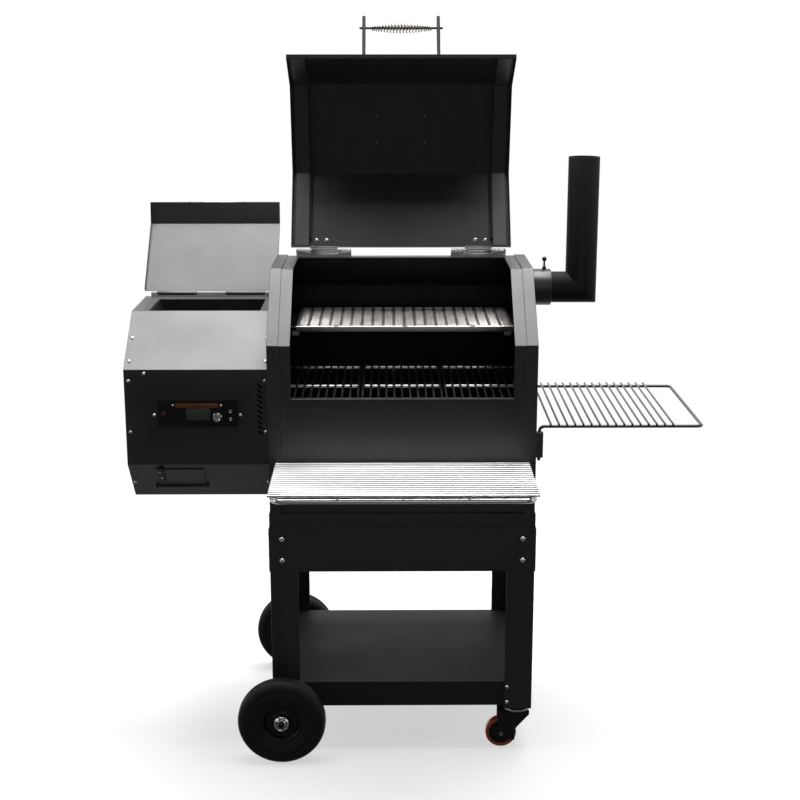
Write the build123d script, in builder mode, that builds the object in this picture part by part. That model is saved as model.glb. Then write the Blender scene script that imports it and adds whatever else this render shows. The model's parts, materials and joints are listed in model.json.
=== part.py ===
from build123d import *
import os
from math import atan2, cos, degrees, hypot, pi, radians, sin

os.makedirs("parts", exist_ok=True)

# ---------------------------------------------------------------------------
# Driving dimensions, millimetres. X to the right, Y from front to back, Z up.
# The numbers below are measured from the middle of the chamber's front face
# at floor level; CX and CY move that point so that the origin ends up under
# the centre of the whole object's box.
CX, CY = 35.25, 203.9

HALF_W = 375.0          # chamber half width
DEPTH = 550.0           # chamber depth
Z_FLOOR = 734.0         # chamber underside
Z_K1 = 1220.0           # front face turns back
Y_K2, Z_TOP = 195.0, 1405.0   # front slope meets the flat top
Y_K3 = 470.0            # flat top meets the rear slope
Z_K4 = 1300.0           # rear slope meets the back wall
SHEET = 3.0             # chamber sheet
FLANGE = 32.0           # edge flange of each side plate
OPEN_HW = 310.0         # door opening half width
Z_SILL = 1069.0
Y_OPEN = 430.0          # rear edge of the door opening

HINGE_Y, HINGE_Z = 446.0, 1419.0   # lid hinge axis
LID_OPEN = 121.0        # how far the lid stands open
LID_HW = 331.0
LID_D = 12.0            # lid skin above the chamber profile
LID_LIP = 14.0
LID_END = 1060.0        # lower edge of the closed lid

HOP_X0, HOP_X1 = -776.0, -375.0
HOP_PROFILE = [(132, 751), (30, 873), (30, 1147), (205, 1281), (455, 1281), (455, 751)]
HOP_HY, HOP_HZ = 461.0, 1288.0
HOP_OPEN = 133.0

WHEEL_R, WHEEL_X = 127.0, -349.0
WHEEL_Y = (-56.0, 606.0)
CASTER_R = 46.0
CASTER_X, CASTER_Y = 338.0, (34.0, 516.0)
CASTER_TRAIL = 46.0

LEG_X = 378.0
LEG_W = 80.0
APRON_Z = (562.0, 691.0)
RAIL_Z = 650.0
SHELF_Z = 218.5

STACK_R = 46.0
STACK_Y, STACK_Z = 380.0, 1320.0
STACK_X, STACK_TOP = 536.0, 1705.0

AUGER_Y, AUGER_Z = 290.0, 800.0

FIT = 0.05              # running clearance of a shaft in its hole

# ---------------------------------------------------------------------------
# Work planes. Their local coordinates are the dimensions above.
W = Plane(origin=(-CX, -CY, 0))


def XY(z):
    return Plane(origin=(-CX, -CY, z))


def YZ(x):
    return Plane(origin=(x - CX, -CY, 0), x_dir=(0, 1, 0), z_dir=(1, 0, 0))


def XZ(y):
    return Plane(origin=(-CX, y - CY, 0), x_dir=(1, 0, 0), z_dir=(0, -1, 0))


def P(x, y, z):
    return Vector(x - CX, y - CY, z)


def band(points, thick):
    """Closed outline of a bent sheet: points is its outer line, and the sheet
    lies to the left of it as the line is walked."""
    n = []
    for (a, b), (c, d) in zip(points, points[1:]):
        length = hypot(c - a, d - b)
        n.append((-(d - b) / length, (c - a) / length))
    inner = []
    for i, (a, b) in enumerate(points):
        if i == 0:
            u, v = n[0]
            inner.append((a + u * thick, b + v * thick))
        elif i == len(points) - 1:
            u, v = n[-1]
            inner.append((a + u * thick, b + v * thick))
        else:
            (u1, v1), (u2, v2) = n[i - 1], n[i]
            k = thick / (1 + u1 * u2 + v1 * v2)
            inner.append((a + (u1 + u2) * k, b + (v1 + v2) * k))
    return list(points) + inner[::-1]


def swing(y, z, hy, hz, angle):
    """A point of a lid drawn closed, after the lid opens by angle."""
    c, s = cos(radians(angle)), sin(radians(angle))
    u, v = y - hy, z - hz
    return hy + u * c + v * s, hz - u * s + v * c


def lid_plane(x, hy=HINGE_Y, hz=HINGE_Z, angle=LID_OPEN):
    """Like YZ(x), for a lid drawn closed and standing open."""
    oy, oz = swing(0, 0, hy, hz, angle)
    a = radians(angle)
    return Plane(origin=(x - CX, oy - CY, oz), x_dir=(0, cos(a), -sin(a)), z_dir=(1, 0, 0))


def lid_point(x, y, z, hy=HINGE_Y, hz=HINGE_Z, angle=LID_OPEN):
    oy, oz = swing(y, z, hy, hz, angle)
    return P(x, oy, oz)


def lid_dir(v, w, angle=LID_OPEN):
    c, s = cos(radians(angle)), sin(radians(angle))
    return (0, v * c + w * s, -v * s + w * c)


PROFILE = [(0, Z_FLOOR), (0, Z_K1), (Y_K2, Z_TOP), (Y_K3, Z_TOP), (DEPTH, Z_K4), (DEPTH, Z_FLOOR)]


def profile_face(inset=0.0):
    Polygon(*PROFILE, align=None)
    if inset:
        offset(amount=-inset, kind=Kind.INTERSECTION)


# ---------------------------------------------------------------------------
# Cooking chamber
with BuildPart() as chamber_side_left:
    with BuildSketch(YZ(-HALF_W)):
        profile_face()
    extrude(amount=FLANGE)
    with BuildSketch(YZ(-HALF_W + SHEET)):
        profile_face(SHEET)
    extrude(amount=FLANGE, mode=Mode.SUBTRACT)
    with BuildSketch(YZ(-HALF_W - 1)):
        with Locations((AUGER_Y, AUGER_Z)):
            Circle(24.5)
    extrude(amount=SHEET + 2, mode=Mode.SUBTRACT)
chamber_side_left.part.label = "chamber_side_left"
export_step(chamber_side_left.part, "parts/chamber_side_left.step")

with BuildPart() as chamber_side_right:
    with BuildSketch(YZ(HALF_W - FLANGE)):
        profile_face()
    extrude(amount=FLANGE)
    with BuildSketch(YZ(HALF_W - FLANGE - 1)):
        profile_face(SHEET)
    extrude(amount=FLANGE + 1 - SHEET, mode=Mode.SUBTRACT)
    with BuildSketch(YZ(HALF_W - SHEET - 1)):
        with Locations((STACK_Y, STACK_Z)):
            Circle(43)
    extrude(amount=SHEET + 2, mode=Mode.SUBTRACT)
chamber_side_right.part.label = "chamber_side_right"
export_step(chamber_side_right.part, "parts/chamber_side_right.step")

# One sheet wraps the front, the top, the back and the floor, 3 mm inside the
# side plates' flanges, with the door opening cut from the front to the hinge.
with BuildPart() as chamber_wrapper:
    with BuildSketch(YZ(-HALF_W + SHEET)):
        profile_face(SHEET)
    extrude(amount=2 * (HALF_W - SHEET))
    with BuildSketch(YZ(-HALF_W + SHEET - 1)):
        profile_face(2 * SHEET)
    extrude(amount=2 * (HALF_W - SHEET) + 2, mode=Mode.SUBTRACT)
    with BuildSketch(XZ(-20)):
        with Locations((0, (Z_SILL + 1500) / 2)):
            Rectangle(2 * OPEN_HW, 1500 - Z_SILL)
    extrude(amount=-(Y_OPEN + 20), mode=Mode.SUBTRACT)
    # the sill is folded back into the chamber
    with BuildSketch(YZ(-OPEN_HW)):
        with BuildLine():
            Polyline((SHEET, Z_SILL - SHEET), (SHEET, Z_SILL), (18, Z_SILL), (18, Z_SILL - SHEET), close=True)
        make_face()
    extrude(amount=2 * OPEN_HW)
chamber_wrapper.part.label = "chamber_wrapper"
export_step(chamber_wrapper.part, "parts/chamber_wrapper.step")

# Rails for the upper rack, ledges for the grates and the drip tray.
RACK_Z = 1229.0
GRATE_Z = 1058.7
TRAY_Z = 940.0
with BuildPart() as chamber_rails:
    for side in (-1, 1):
        with BuildSketch(XZ(230)):
            with BuildLine():
                Polyline(
                    (side * 372, RACK_Z), (side * 298, RACK_Z), (side * 298, RACK_Z - 14), (side * 300.5, RACK_Z - 14),
                    (side * 300.5, RACK_Z - 2.5), (side * 369.5, RACK_Z - 2.5), (side * 369.5, RACK_Z - 24), (side * 372, RACK_Z - 24),
                    close=True,
                )
            make_face()
        extrude(amount=-300)
        # stop tab at the rail's front end
        with BuildSketch(XZ(230)):
            with Locations((side * 308, RACK_Z - 19)):
                Rectangle(20, 14)
        extrude(amount=-2.5)
        with BuildSketch(XZ(60)):
            with BuildLine():
                Polyline(
                    (side * 372, TRAY_Z), (side * 346, TRAY_Z), (side * 346, TRAY_Z - 2.5), (side * 369.5, TRAY_Z - 2.5),
                    (side * 369.5, TRAY_Z - 22), (side * 372, TRAY_Z - 22), close=True,
                )
            make_face()
        extrude(amount=-430)
    for y0, y1, y2 in ((6, 28, 8.5), (544, 522, 541.5)):
        with BuildSketch(YZ(-HALF_W + SHEET)):
            with BuildLine():
                Polyline((y0, GRATE_Z), (y1, GRATE_Z), (y1, GRATE_Z - 2.5), (y2, GRATE_Z - 2.5), (y2, GRATE_Z - 22), (y0, GRATE_Z - 22), close=True)
            make_face()
        extrude(amount=2 * (HALF_W - SHEET))
chamber_rails.part.label = "chamber_rails"
export_step(chamber_rails.part, "parts/chamber_rails.step")

# Upper rack: a slotted sheet with a folded front edge.
RACK_X = 8.0
RACK_Y = (228.0, 524.0)
with BuildPart() as upper_rack:
    with BuildSketch(XY(RACK_Z)):
        with Locations((RACK_X, (RACK_Y[0] + RACK_Y[1]) / 2)):
            Rectangle(630, RACK_Y[1] - RACK_Y[0])
        with Locations((RACK_X, (RACK_Y[0] + RACK_Y[1]) / 2)):
            with GridLocations(31, 35, 20, 8):
                Rectangle(20, 26, mode=Mode.SUBTRACT)
    extrude(amount=2)
    with BuildSketch(XZ(RACK_Y[0])):
        with Locations((RACK_X, RACK_Z - 6)):
            Rectangle(630, 16)
    extrude(amount=2)
upper_rack.part.label = "upper_rack"
export_step(upper_rack.part, "parts/upper_rack.step")


# Cooking grates: round bars front to back on two cross rods.
def grate(cx):
    with BuildPart(W) as made:
        for i in range(11):
            with Locations((cx + (i - 5) * 22.4, 278.5, GRATE_Z + 3.5)):
                Cylinder(3.5, 518, rotation=(90, 0, 0))
        for y in (215, 462):
            with Locations((cx, y, GRATE_Z - 3.2)):
                Cylinder(4, 230, rotation=(0, 90, 0))
    return made


grate_left = grate(-237)
grate_left.part.label = "grate_left"
export_step(grate_left.part, "parts/grate_left.step")
grate_centre = grate(0)
grate_centre.part.label = "grate_centre"
export_step(grate_centre.part, "parts/grate_centre.step")
grate_right = grate(237)
grate_right.part.label = "grate_right"
export_step(grate_right.part, "parts/grate_right.step")

with BuildPart(W) as drip_tray:
    with Locations((0, 275, TRAY_Z + 7)):
        Box(730, 420, 14)
    with Locations((0, 275, TRAY_Z + 9)):
        Box(725, 415, 13, mode=Mode.SUBTRACT)
drip_tray.part.label = "drip_tray"
export_step(drip_tray.part, "parts/drip_tray.step")

# Fire pot on the chamber floor, fed by the auger from the left.
POT_X = -10.0
with BuildPart(W) as fire_pot:
    with Locations((POT_X, AUGER_Y, 740 + 55)):
        Cylinder(60, 110)
    with Locations((POT_X, AUGER_Y, 740 + 58)):
        Cylinder(57, 110, mode=Mode.SUBTRACT)
    with Locations((POT_X - 60, AUGER_Y, AUGER_Z)):
        Cylinder(24.3, 40, rotation=(0, 90, 0), mode=Mode.SUBTRACT)
    with Locations((POT_X + 60, AUGER_Y, 770)):
        Cylinder(5.2, 40, rotation=(0, 90, 0), mode=Mode.SUBTRACT)
    for k in range(3):
        for a in range(0, 360, 30):
            if k == 0 and a in (0, 180):
                continue
            with Locations(Location((POT_X, AUGER_Y, 776 + k * 22), (0, 90, a))):
                with Locations((0, 0, 58.5)):
                    if not (150 <= a <= 210 and k < 3):
                        Cylinder(4, 8, mode=Mode.SUBTRACT)
fire_pot.part.label = "fire_pot"
export_step(fire_pot.part, "parts/fire_pot.step")

with BuildPart(W) as igniter_rod:
    with Locations((POT_X + 100, AUGER_Y, 770)):
        Cylinder(5, 120, rotation=(0, 90, 0))
    with Locations((POT_X + 162, AUGER_Y, 761)):
        Box(8, 26, 42)
igniter_rod.part.label = "igniter_rod"
export_step(igniter_rod.part, "parts/igniter_rod.step")

# ---------------------------------------------------------------------------
# Lid, drawn closed and swung open about its hinge.
SLOPE = atan2(Z_TOP - Z_K1, Y_K2)
K2 = (Y_K2 - LID_D * sin(SLOPE / 2) / cos(SLOPE / 2), Z_TOP + LID_D)
T1 = (pi / 2 - SLOPE) / 2
K1 = (-LID_D, Z_K1 + LID_D * sin(T1) / cos(T1))
LID_BACK = 436.0
LID_LINE = [(LID_BACK, Z_TOP + LID_D), K2, K1, (-LID_D, LID_END)]

with BuildPart() as lid_shell:
    with BuildSketch(lid_plane(-LID_HW)):
        with BuildLine():
            Polyline(*band(LID_LINE, 2), close=True)
        make_face()
    extrude(amount=2 * LID_HW)
    for x in (-LID_HW, LID_HW - 2):
        with BuildSketch(lid_plane(x)):
            with BuildLine():
                Polyline(*band(LID_LINE, LID_LIP), close=True)
            make_face()
        extrude(amount=2)
    # lips across the lower edge and along the hinge
    with BuildSketch(lid_plane(-LID_HW)):
        with Locations((-LID_D + LID_LIP / 2, LID_END + 1)):
            Rectangle(LID_LIP, 2)
        with Locations((LID_BACK - 1, Z_TOP + LID_D - LID_LIP / 2)):
            Rectangle(2, LID_LIP)
    extrude(amount=2 * LID_HW)
lid_shell.part.label = "lid_shell"
export_step(lid_shell.part, "parts/lid_shell.step")

# Folded channels that stiffen the lid's two side edges.
SKIN = band(LID_LINE, 2)[len(LID_LINE):][::-1]
CH_LINE = [(LID_BACK - 3, SKIN[0][1]), SKIN[1], SKIN[2], (SKIN[3][0], LID_END + 3)]
with BuildPart() as lid_side_channels:
    for x in (-318, 277):
        with BuildSketch(lid_plane(x)):
            with BuildLine():
                Polyline(*band(CH_LINE, 11), close=True)
            make_face()
        extrude(amount=41)
        with BuildSketch(lid_plane(x + 2)):
            with BuildLine():
                Polyline(*band(CH_LINE, 9), close=True)
            make_face()
        extrude(amount=37, mode=Mode.SUBTRACT)
lid_side_channels.part.label = "lid_side_channels"
export_step(lid_side_channels.part, "parts/lid_side_channels.step")

# Seal rope beside each channel.
def lid_seal_path(x):
    inner = band(CH_LINE, 4.1)[len(CH_LINE):][::-1]
    return [lid_point(x, y, z) for y, z in ((410.0, inner[0][1]), inner[1], inner[2], (inner[3][0], LID_END + 12))]


with BuildPart() as lid_seal:
    for x in (-272.8, 272.8):
        with BuildLine() as rope:
            FilletPolyline(*lid_seal_path(x), radius=16)
        with BuildSketch(Plane(origin=rope.line @ 0, z_dir=rope.line % 0)):
            Circle(4)
        sweep(path=rope.line)
lid_seal.part.label = "lid_seal"
export_step(lid_seal.part, "parts/lid_seal.step")

# Handle: two posts through the lower panel with a cross rod.
HANDLE_Z, HANDLE_OUT = 1078.0, 96.0
with BuildPart() as lid_handle_frame:
    for x in (-108, 108):
        with BuildSketch(Plane(origin=lid_point(x, -LID_D, HANDLE_Z), z_dir=lid_dir(-1, 0))):
            Circle(5)
        extrude(amount=HANDLE_OUT + 38)
        with BuildSketch(Plane(origin=lid_point(x, -LID_D, HANDLE_Z), z_dir=lid_dir(-1, 0))):
            Circle(9)
        extrude(amount=4)
    with BuildSketch(Plane(origin=lid_point(-121, -LID_D - HANDLE_OUT, HANDLE_Z), z_dir=(1, 0, 0))):
        Circle(3.2)
    extrude(amount=242)
lid_handle_frame.part.label = "lid_handle_frame"
export_step(lid_handle_frame.part, "parts/lid_handle_frame.step")

# The grip is a wire coil, drawn as the closed sleeve that it fills.
with BuildPart() as lid_grip_coil:
    with BuildSketch(Plane(origin=lid_point(0, -LID_D - HANDLE_OUT, HANDLE_Z), x_dir=(1, 0, 0), z_dir=lid_dir(0, 1))):
        with BuildLine():
            Spline((-89, 8), (-50, 11.8), (0, 15.5), (50, 11.8), (89, 8))
            Polyline((89, 8), (89, 3.2), (-89, 3.2), (-89, 8))
        make_face()
    revolve(axis=Axis(lid_point(0, -LID_D - HANDLE_OUT, HANDLE_Z), (1, 0, 0)))
lid_grip_coil.part.label = "lid_grip_coil"
export_step(lid_grip_coil.part, "parts/lid_grip_coil.step")

# A blank plate on the outside of the sloped panel.
SU = (cos(SLOPE), sin(SLOPE))          # up the slope, towards the hinge
SN = (-sin(SLOPE), cos(SLOPE))         # out of the slope
BADGE = (K1[0] + SU[0] * 140, K1[1] + SU[1] * 140)
with BuildPart() as lid_badge_plate:
    with BuildSketch(Plane(origin=lid_point(0, *BADGE), x_dir=(1, 0, 0), z_dir=lid_dir(*SN))):
        RectangleRounded(176, 106, 8)
    extrude(amount=1.5)
lid_badge_plate.part.label = "lid_badge_plate"
export_step(lid_badge_plate.part, "parts/lid_badge_plate.step")

# Rivets of the badge plate, and the bolts that hold the hinge leaves, seen inside.
with BuildPart() as lid_bolts:
    for x in (-72, 72):
        for s in (100, 180):
            by, bz = K1[0] + SU[0] * s - SN[0] * 2, K1[1] + SU[1] * s - SN[1] * 2
            with BuildSketch(Plane(origin=lid_point(x, by, bz), z_dir=lid_dir(-SN[0], -SN[1]))):
                Circle(3.5)
            extrude(amount=2)
    for x in (-254, -224, 224, 254):
        with BuildSketch(Plane(origin=lid_point(x, 412, Z_TOP + LID_D - 2), z_dir=lid_dir(0, -1))):
            Circle(6.5)
        extrude(amount=4)
lid_bolts.part.label = "lid_bolts"
export_step(lid_bolts.part, "parts/lid_bolts.step")

# Hinges: the chamber leaf carries the outer knuckles and the pin, the lid leaf
# the middle knuckle.
with BuildPart(W) as chamber_hinge_leaves:
    for side in (-1, 1):
        for x0, x1 in ((150, 190), (275, 316)):
            with Locations((side * (x0 + x1) / 2, HINGE_Y, HINGE_Z)):
                Cylinder(7, x1 - x0, rotation=(0, 90, 0))
            with Locations((side * (x0 + x1) / 2, HINGE_Y + 5.5, (Z_TOP - 3 + HINGE_Z) / 2)):
                Box(x1 - x0, 3, HINGE_Z - Z_TOP + 3)
        with Locations((side * 233, HINGE_Y, HINGE_Z)):
            Cylinder(4, 166, rotation=(0, 90, 0))
        with Locations((side * 233, HINGE_Y + 12, Z_TOP - 1.75)):
            Box(166, 16, 2.5)
chamber_hinge_leaves.part.label = "chamber_hinge_leaves"
export_step(chamber_hinge_leaves.part, "parts/chamber_hinge_leaves.step")

with BuildPart() as lid_hinge_leaves:
    for x0 in (-274, 191):
        with BuildSketch(lid_plane(x0)):
            with Locations((HINGE_Y, HINGE_Z)):
                Circle(7)
            with Locations((LID_BACK + 1.5, HINGE_Z - 7.5)):
                Rectangle(3, 15)
            with Locations((LID_BACK + 3, HINGE_Z - 2)):
                Rectangle(6, 4)
        extrude(amount=83)
        with BuildSketch(lid_plane(x0 - 1)):
            with Locations((HINGE_Y, HINGE_Z)):
                Circle(4 + FIT)
        extrude(amount=85, mode=Mode.SUBTRACT)
lid_hinge_leaves.part.label = "lid_hinge_leaves"
export_step(lid_hinge_leaves.part, "parts/lid_hinge_leaves.step")

# ---------------------------------------------------------------------------
# Hopper
HOP_W = HOP_X1 - HOP_X0
HOP_MID = (HOP_X0 + HOP_X1) / 2
FACET = atan2(873 - 751, 132 - 30)      # lower front facet
FD = (cos(FACET), -sin(FACET))          # down the facet (Y, Z)
FN = (-sin(FACET), -cos(FACET))         # out of the facet


def facet(x, s, n=0.0):
    return P(x, 30 + FD[0] * s + FN[0] * n, 873 + FD[1] * s + FN[1] * n)


FAN_X, FAN_Y = -680.0, 396.0
DOOR_X = (-702.0, -564.0)
DOOR_PIN = 108.5
with BuildPart() as hopper_shell:
    with BuildSketch(YZ(HOP_X0)):
        with BuildLine():
            Polyline(*HOP_PROFILE, close=True)
        make_face()
    extrude(amount=HOP_W)
    with BuildSketch(YZ(HOP_X0 + 2)):
        with BuildLine():
            Polyline(*HOP_PROFILE, close=True)
        make_face()
        offset(amount=-2, kind=Kind.INTERSECTION)
    extrude(amount=HOP_W - 4, mode=Mode.SUBTRACT)
    # filling mouth
    with BuildSketch(XY(1270)):
        with Locations(((-727 - 407) / 2, 305)):
            Rectangle(320, 190)
    extrude(amount=20, mode=Mode.SUBTRACT)
    # auger passage, window behind the control panel, louvres, air inlet
    with BuildSketch(YZ(HOP_X1 - 3)):
        with Locations((AUGER_Y, AUGER_Z)):
            Circle(24.5)
    extrude(amount=4, mode=Mode.SUBTRACT)
    with BuildSketch(XZ(28)):
        with Locations((-572.5, 1020)):
            Rectangle(214, 52)
        for k in range(10):
            with Locations(Location((-398.5, 1100 - 15 * k), -38)):
                SlotOverall(19, 5)
    extrude(amount=-6, mode=Mode.SUBTRACT)
    with BuildSketch(XY(750)):
        with Locations((FAN_X, FAN_Y)):
            with PolarLocations(30, 6):
                Circle(9)
    extrude(amount=4, mode=Mode.SUBTRACT)
    # clean-out opening in the lower facet, with ears for the door's pins
    with BuildSketch(Plane(origin=facet(sum(DOOR_X) / 2, 62.5, 1), x_dir=(1, 0, 0), z_dir=(0, FN[0], FN[1]))):
        Rectangle(118, 62)
    extrude(amount=-5, mode=Mode.SUBTRACT)
    for x in (DOOR_X[0] - 7, DOOR_X[1] + 2):
        with BuildSketch(Plane(origin=facet(x, DOOR_PIN, 4.6), x_dir=(0, FD[0], FD[1]), z_dir=(1, 0, 0))):
            Circle(4.4)
            with Locations((0, 2.7)):
                Rectangle(8.8, 5.4)
            Circle(2 + FIT, mode=Mode.SUBTRACT)
        extrude(amount=5)
hopper_shell.part.label = "hopper_shell"
export_step(hopper_shell.part, "parts/hopper_shell.step")

# Funnel from the mouth down to the auger.
with BuildPart() as hopper_bin:
    with BuildSketch(XY(1278.8)):
        with Locations((-567, 305)):
            Rectangle(320, 190)
    with BuildSketch(XY(826)):
        with Locations((-470, AUGER_Y)):
            Rectangle(92, 34)
    loft()
    with BuildSketch(XY(1278.9)):
        with Locations((-567, 305)):
            Rectangle(316, 186)
    with BuildSketch(XY(825.9)):
        with Locations((-470, AUGER_Y)):
            Rectangle(88, 30)
    loft(mode=Mode.SUBTRACT)
hopper_bin.part.label = "hopper_bin"
export_step(hopper_bin.part, "parts/hopper_bin.step")

# Hopper lid, drawn closed and swung open.
HL_X0, HL_X1 = -780.0, -377.5
HL_TOP = 1286.5
HL_F = 203.0
LIP_A = atan2(1281 - 1147, 205 - 30)
HL_TIP = (HL_F - 68 * cos(LIP_A), HL_TOP - 68 * sin(LIP_A))


def hop_plane(x):
    return lid_plane(x, HOP_HY, HOP_HZ, HOP_OPEN)


def hop_point(x, y, z):
    return lid_point(x, y, z, HOP_HY, HOP_HZ, HOP_OPEN)


def hop_dir(v, w):
    return lid_dir(v, w, HOP_OPEN)


HL_KNUCKLES = ((-742, -622), (-534, -414))
with BuildPart() as hopper_lid:
    with BuildSketch(hop_plane(HL_X0)):
        with BuildLine():
            Polyline(*band([(HOP_HY - 7.2, HL_TOP), (HL_F, HL_TOP), HL_TIP], 2), close=True)
        make_face()
    extrude(amount=HL_X1 - HL_X0)
    with BuildSketch(hop_plane(HL_X0)):
        with BuildLine():
            Polyline(*band([(HOP_HY - 7.2, HL_TOP), (HL_F, HL_TOP), HL_TIP], 14), close=True)
        make_face()
    extrude(amount=2)
    for x0, x1 in HL_KNUCKLES:
        with BuildSketch(hop_plane(x0)):
            with Locations((HOP_HY, HOP_HZ)):
                Circle(6)
            with Locations((HOP_HY - 7, HL_TOP - 1)):
                Rectangle(6, 2)
        extrude(amount=x1 - x0)
        with BuildSketch(hop_plane(x0 - 1)):
            with Locations((HOP_HY, HOP_HZ)):
                Circle(3 + FIT)
        extrude(amount=x1 - x0 + 2, mode=Mode.SUBTRACT)
hopper_lid.part.label = "hopper_lid"
export_step(hopper_lid.part, "parts/hopper_lid.step")

with BuildPart(W) as hopper_hinge:
    with Locations((-578, HOP_HY, HOP_HZ)):
        Cylinder(3, 364, rotation=(0, 90, 0))
    for x0, x1 in ((-760, -743), (-621, -535), (-413, -396)):
        with Locations(((x0 + x1) / 2, HOP_HY, HOP_HZ)):
            Cylinder(6, x1 - x0, rotation=(0, 90, 0))
        with Locations(((x0 + x1) / 2, HOP_HY - 4.75, 1268)):
            Box(x1 - x0, 2.5, 40)
    with Locations((-578, HOP_HY - 4.75, 1264.5)):
        Box(364, 2.5, 33)
    with Locations((-578, HOP_HY, 1280)):
        Box(364, 12, 2)
hopper_hinge.part.label = "hopper_hinge"
export_step(hopper_hinge.part, "parts/hopper_hinge.step")

# Handle on the hopper lid's front lip.
LU = (-cos(LIP_A), -sin(LIP_A))        # down the lip
LN = (-sin(LIP_A), cos(LIP_A))         # out of the lip
HH = (HL_F + LU[0] * 60, HL_TOP + LU[1] * 60)
HR = (HH[0] + LN[0] * 56, HH[1] + LN[1] * 56)
with BuildPart() as hopper_handle_frame:
    for x in (HOP_MID - 84, HOP_MID + 84):
        with BuildSketch(Plane(origin=hop_point(x, *HH), z_dir=hop_dir(*LN))):
            Circle(5)
        extrude(amount=70)
        with BuildSketch(Plane(origin=hop_point(x, *HH), z_dir=hop_dir(*LN))):
            Circle(9)
        extrude(amount=4)
    with BuildSketch(Plane(origin=hop_point(HOP_MID - 96, *HR), z_dir=(1, 0, 0))):
        Circle(3.2)
    extrude(amount=192)
hopper_handle_frame.part.label = "hopper_handle_frame"
export_step(hopper_handle_frame.part, "parts/hopper_handle_frame.step")

with BuildPart() as hopper_grip_coil:
    with BuildSketch(Plane(origin=hop_point(HOP_MID, *HR), x_dir=(1, 0, 0), z_dir=hop_dir(*LU))):
        with BuildLine():
            Spline((-72, 8), (-40, 10.5), (0, 13), (40, 10.5), (72, 8))
            Polyline((72, 8), (72, 3.2), (-72, 3.2), (-72, 8))
        make_face()
    revolve(axis=Axis(hop_point(HOP_MID, *HR), (1, 0, 0)))
hopper_grip_coil.part.label = "hopper_grip_coil"
export_step(hopper_grip_coil.part, "parts/hopper_grip_coil.step")

# Screws of the hopper's panels, on its front and along its side edges.
SCREWS = [(-763, 30, 1115), (-763, 30, 968), (-383.5, 30, 1115), (-383.5, 30, 968), (-719, 30, 1136), (-694.5, 30, 1017), (-453, 30, 1017)]
with BuildPart(W) as hopper_screws:
    for x, y, z in SCREWS:
        with Locations((x, y - 1.5, z)):
            Cylinder(4.5, 3, rotation=(90, 0, 0))
    for x, s in ((-766, 90), (-384, 90)):
        with BuildSketch(Plane(origin=facet(x, s, 0), z_dir=(0, FN[0], FN[1]))):
            Circle(4.5)
        extrude(amount=3)
    for x, t in ((-763, 117), (-763, 31), (-382.5, 115), (-382.5, 30)):
        with BuildSketch(Plane(origin=P(x, 30 + 0.794 * t, 1147 + 0.608 * t), z_dir=(0, -0.6080, 0.7940))):
            Circle(4.5)
        extrude(amount=3)
hopper_screws.part.label = "hopper_screws"
export_step(hopper_screws.part, "parts/hopper_screws.step")

# Control panel and what is set in it.
with BuildPart() as control_panel:
    with BuildSketch(XZ(30)):
        with Locations((-572.3, 1021)):
            RectangleRounded(224, 77, 3)
        with Locations((-572, 1020)):
            Rectangle(66.6, 34.6, mode=Mode.SUBTRACT)
        with Locations((-518, 1012)):
            Circle(3.5, mode=Mode.SUBTRACT)
        with Locations((-669, 1020)):
            Circle(7.8, mode=Mode.SUBTRACT)
        with Locations((-481, 1027), (-481, 1005)):
            Circle(4.6, mode=Mode.SUBTRACT)
    extrude(amount=1.5)
control_panel.part.label = "control_panel"
export_step(control_panel.part, "parts/control_panel.step")

with BuildPart() as control_display:
    with BuildSketch(XZ(45)):
        with Locations((-572, 1020)):
            Rectangle(66, 34)
    extrude(amount=17.2)
    with BuildSketch(XZ(52)):
        with Locations((-572, 1020)):
            Rectangle(210, 50)
    extrude(amount=7)
control_display.part.label = "control_display"
export_step(control_display.part, "parts/control_display.step")

with BuildPart() as control_knob:
    with BuildSketch(XZ(27.9)):
        with Locations((-518, 1012)):
            Circle(11.8)
    extrude(amount=15)
    fillet(control_knob.edges().filter_by(GeomType.CIRCLE).sort_by(Axis.Y)[0], 1.5)
    with BuildSketch(XZ(44.5)):
        with Locations((-518, 1012)):
            Circle(3)
    extrude(amount=16.7)
control_knob.part.label = "control_knob"
export_step(control_knob.part, "parts/control_knob.step")

with BuildPart() as power_button:
    with BuildSketch(XZ(38)):
        with Locations((-669, 1020)):
            Circle(7.4)
    extrude(amount=13)
power_button.part.label = "power_button"
export_step(power_button.part, "parts/power_button.step")

JACK_R = 1.75
with BuildPart() as probe_jacks:
    for z in (1027, 1005):
        with BuildSketch(XZ(44.5)):
            with Locations((-481, z)):
                Circle(4.5)
        extrude(amount=17.5)
        with BuildSketch(XZ(43)):
            with Locations((-481, z)):
                Circle(JACK_R)
        extrude(amount=20, mode=Mode.SUBTRACT)
probe_jacks.part.label = "probe_jacks"
export_step(probe_jacks.part, "parts/probe_jacks.step")

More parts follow.
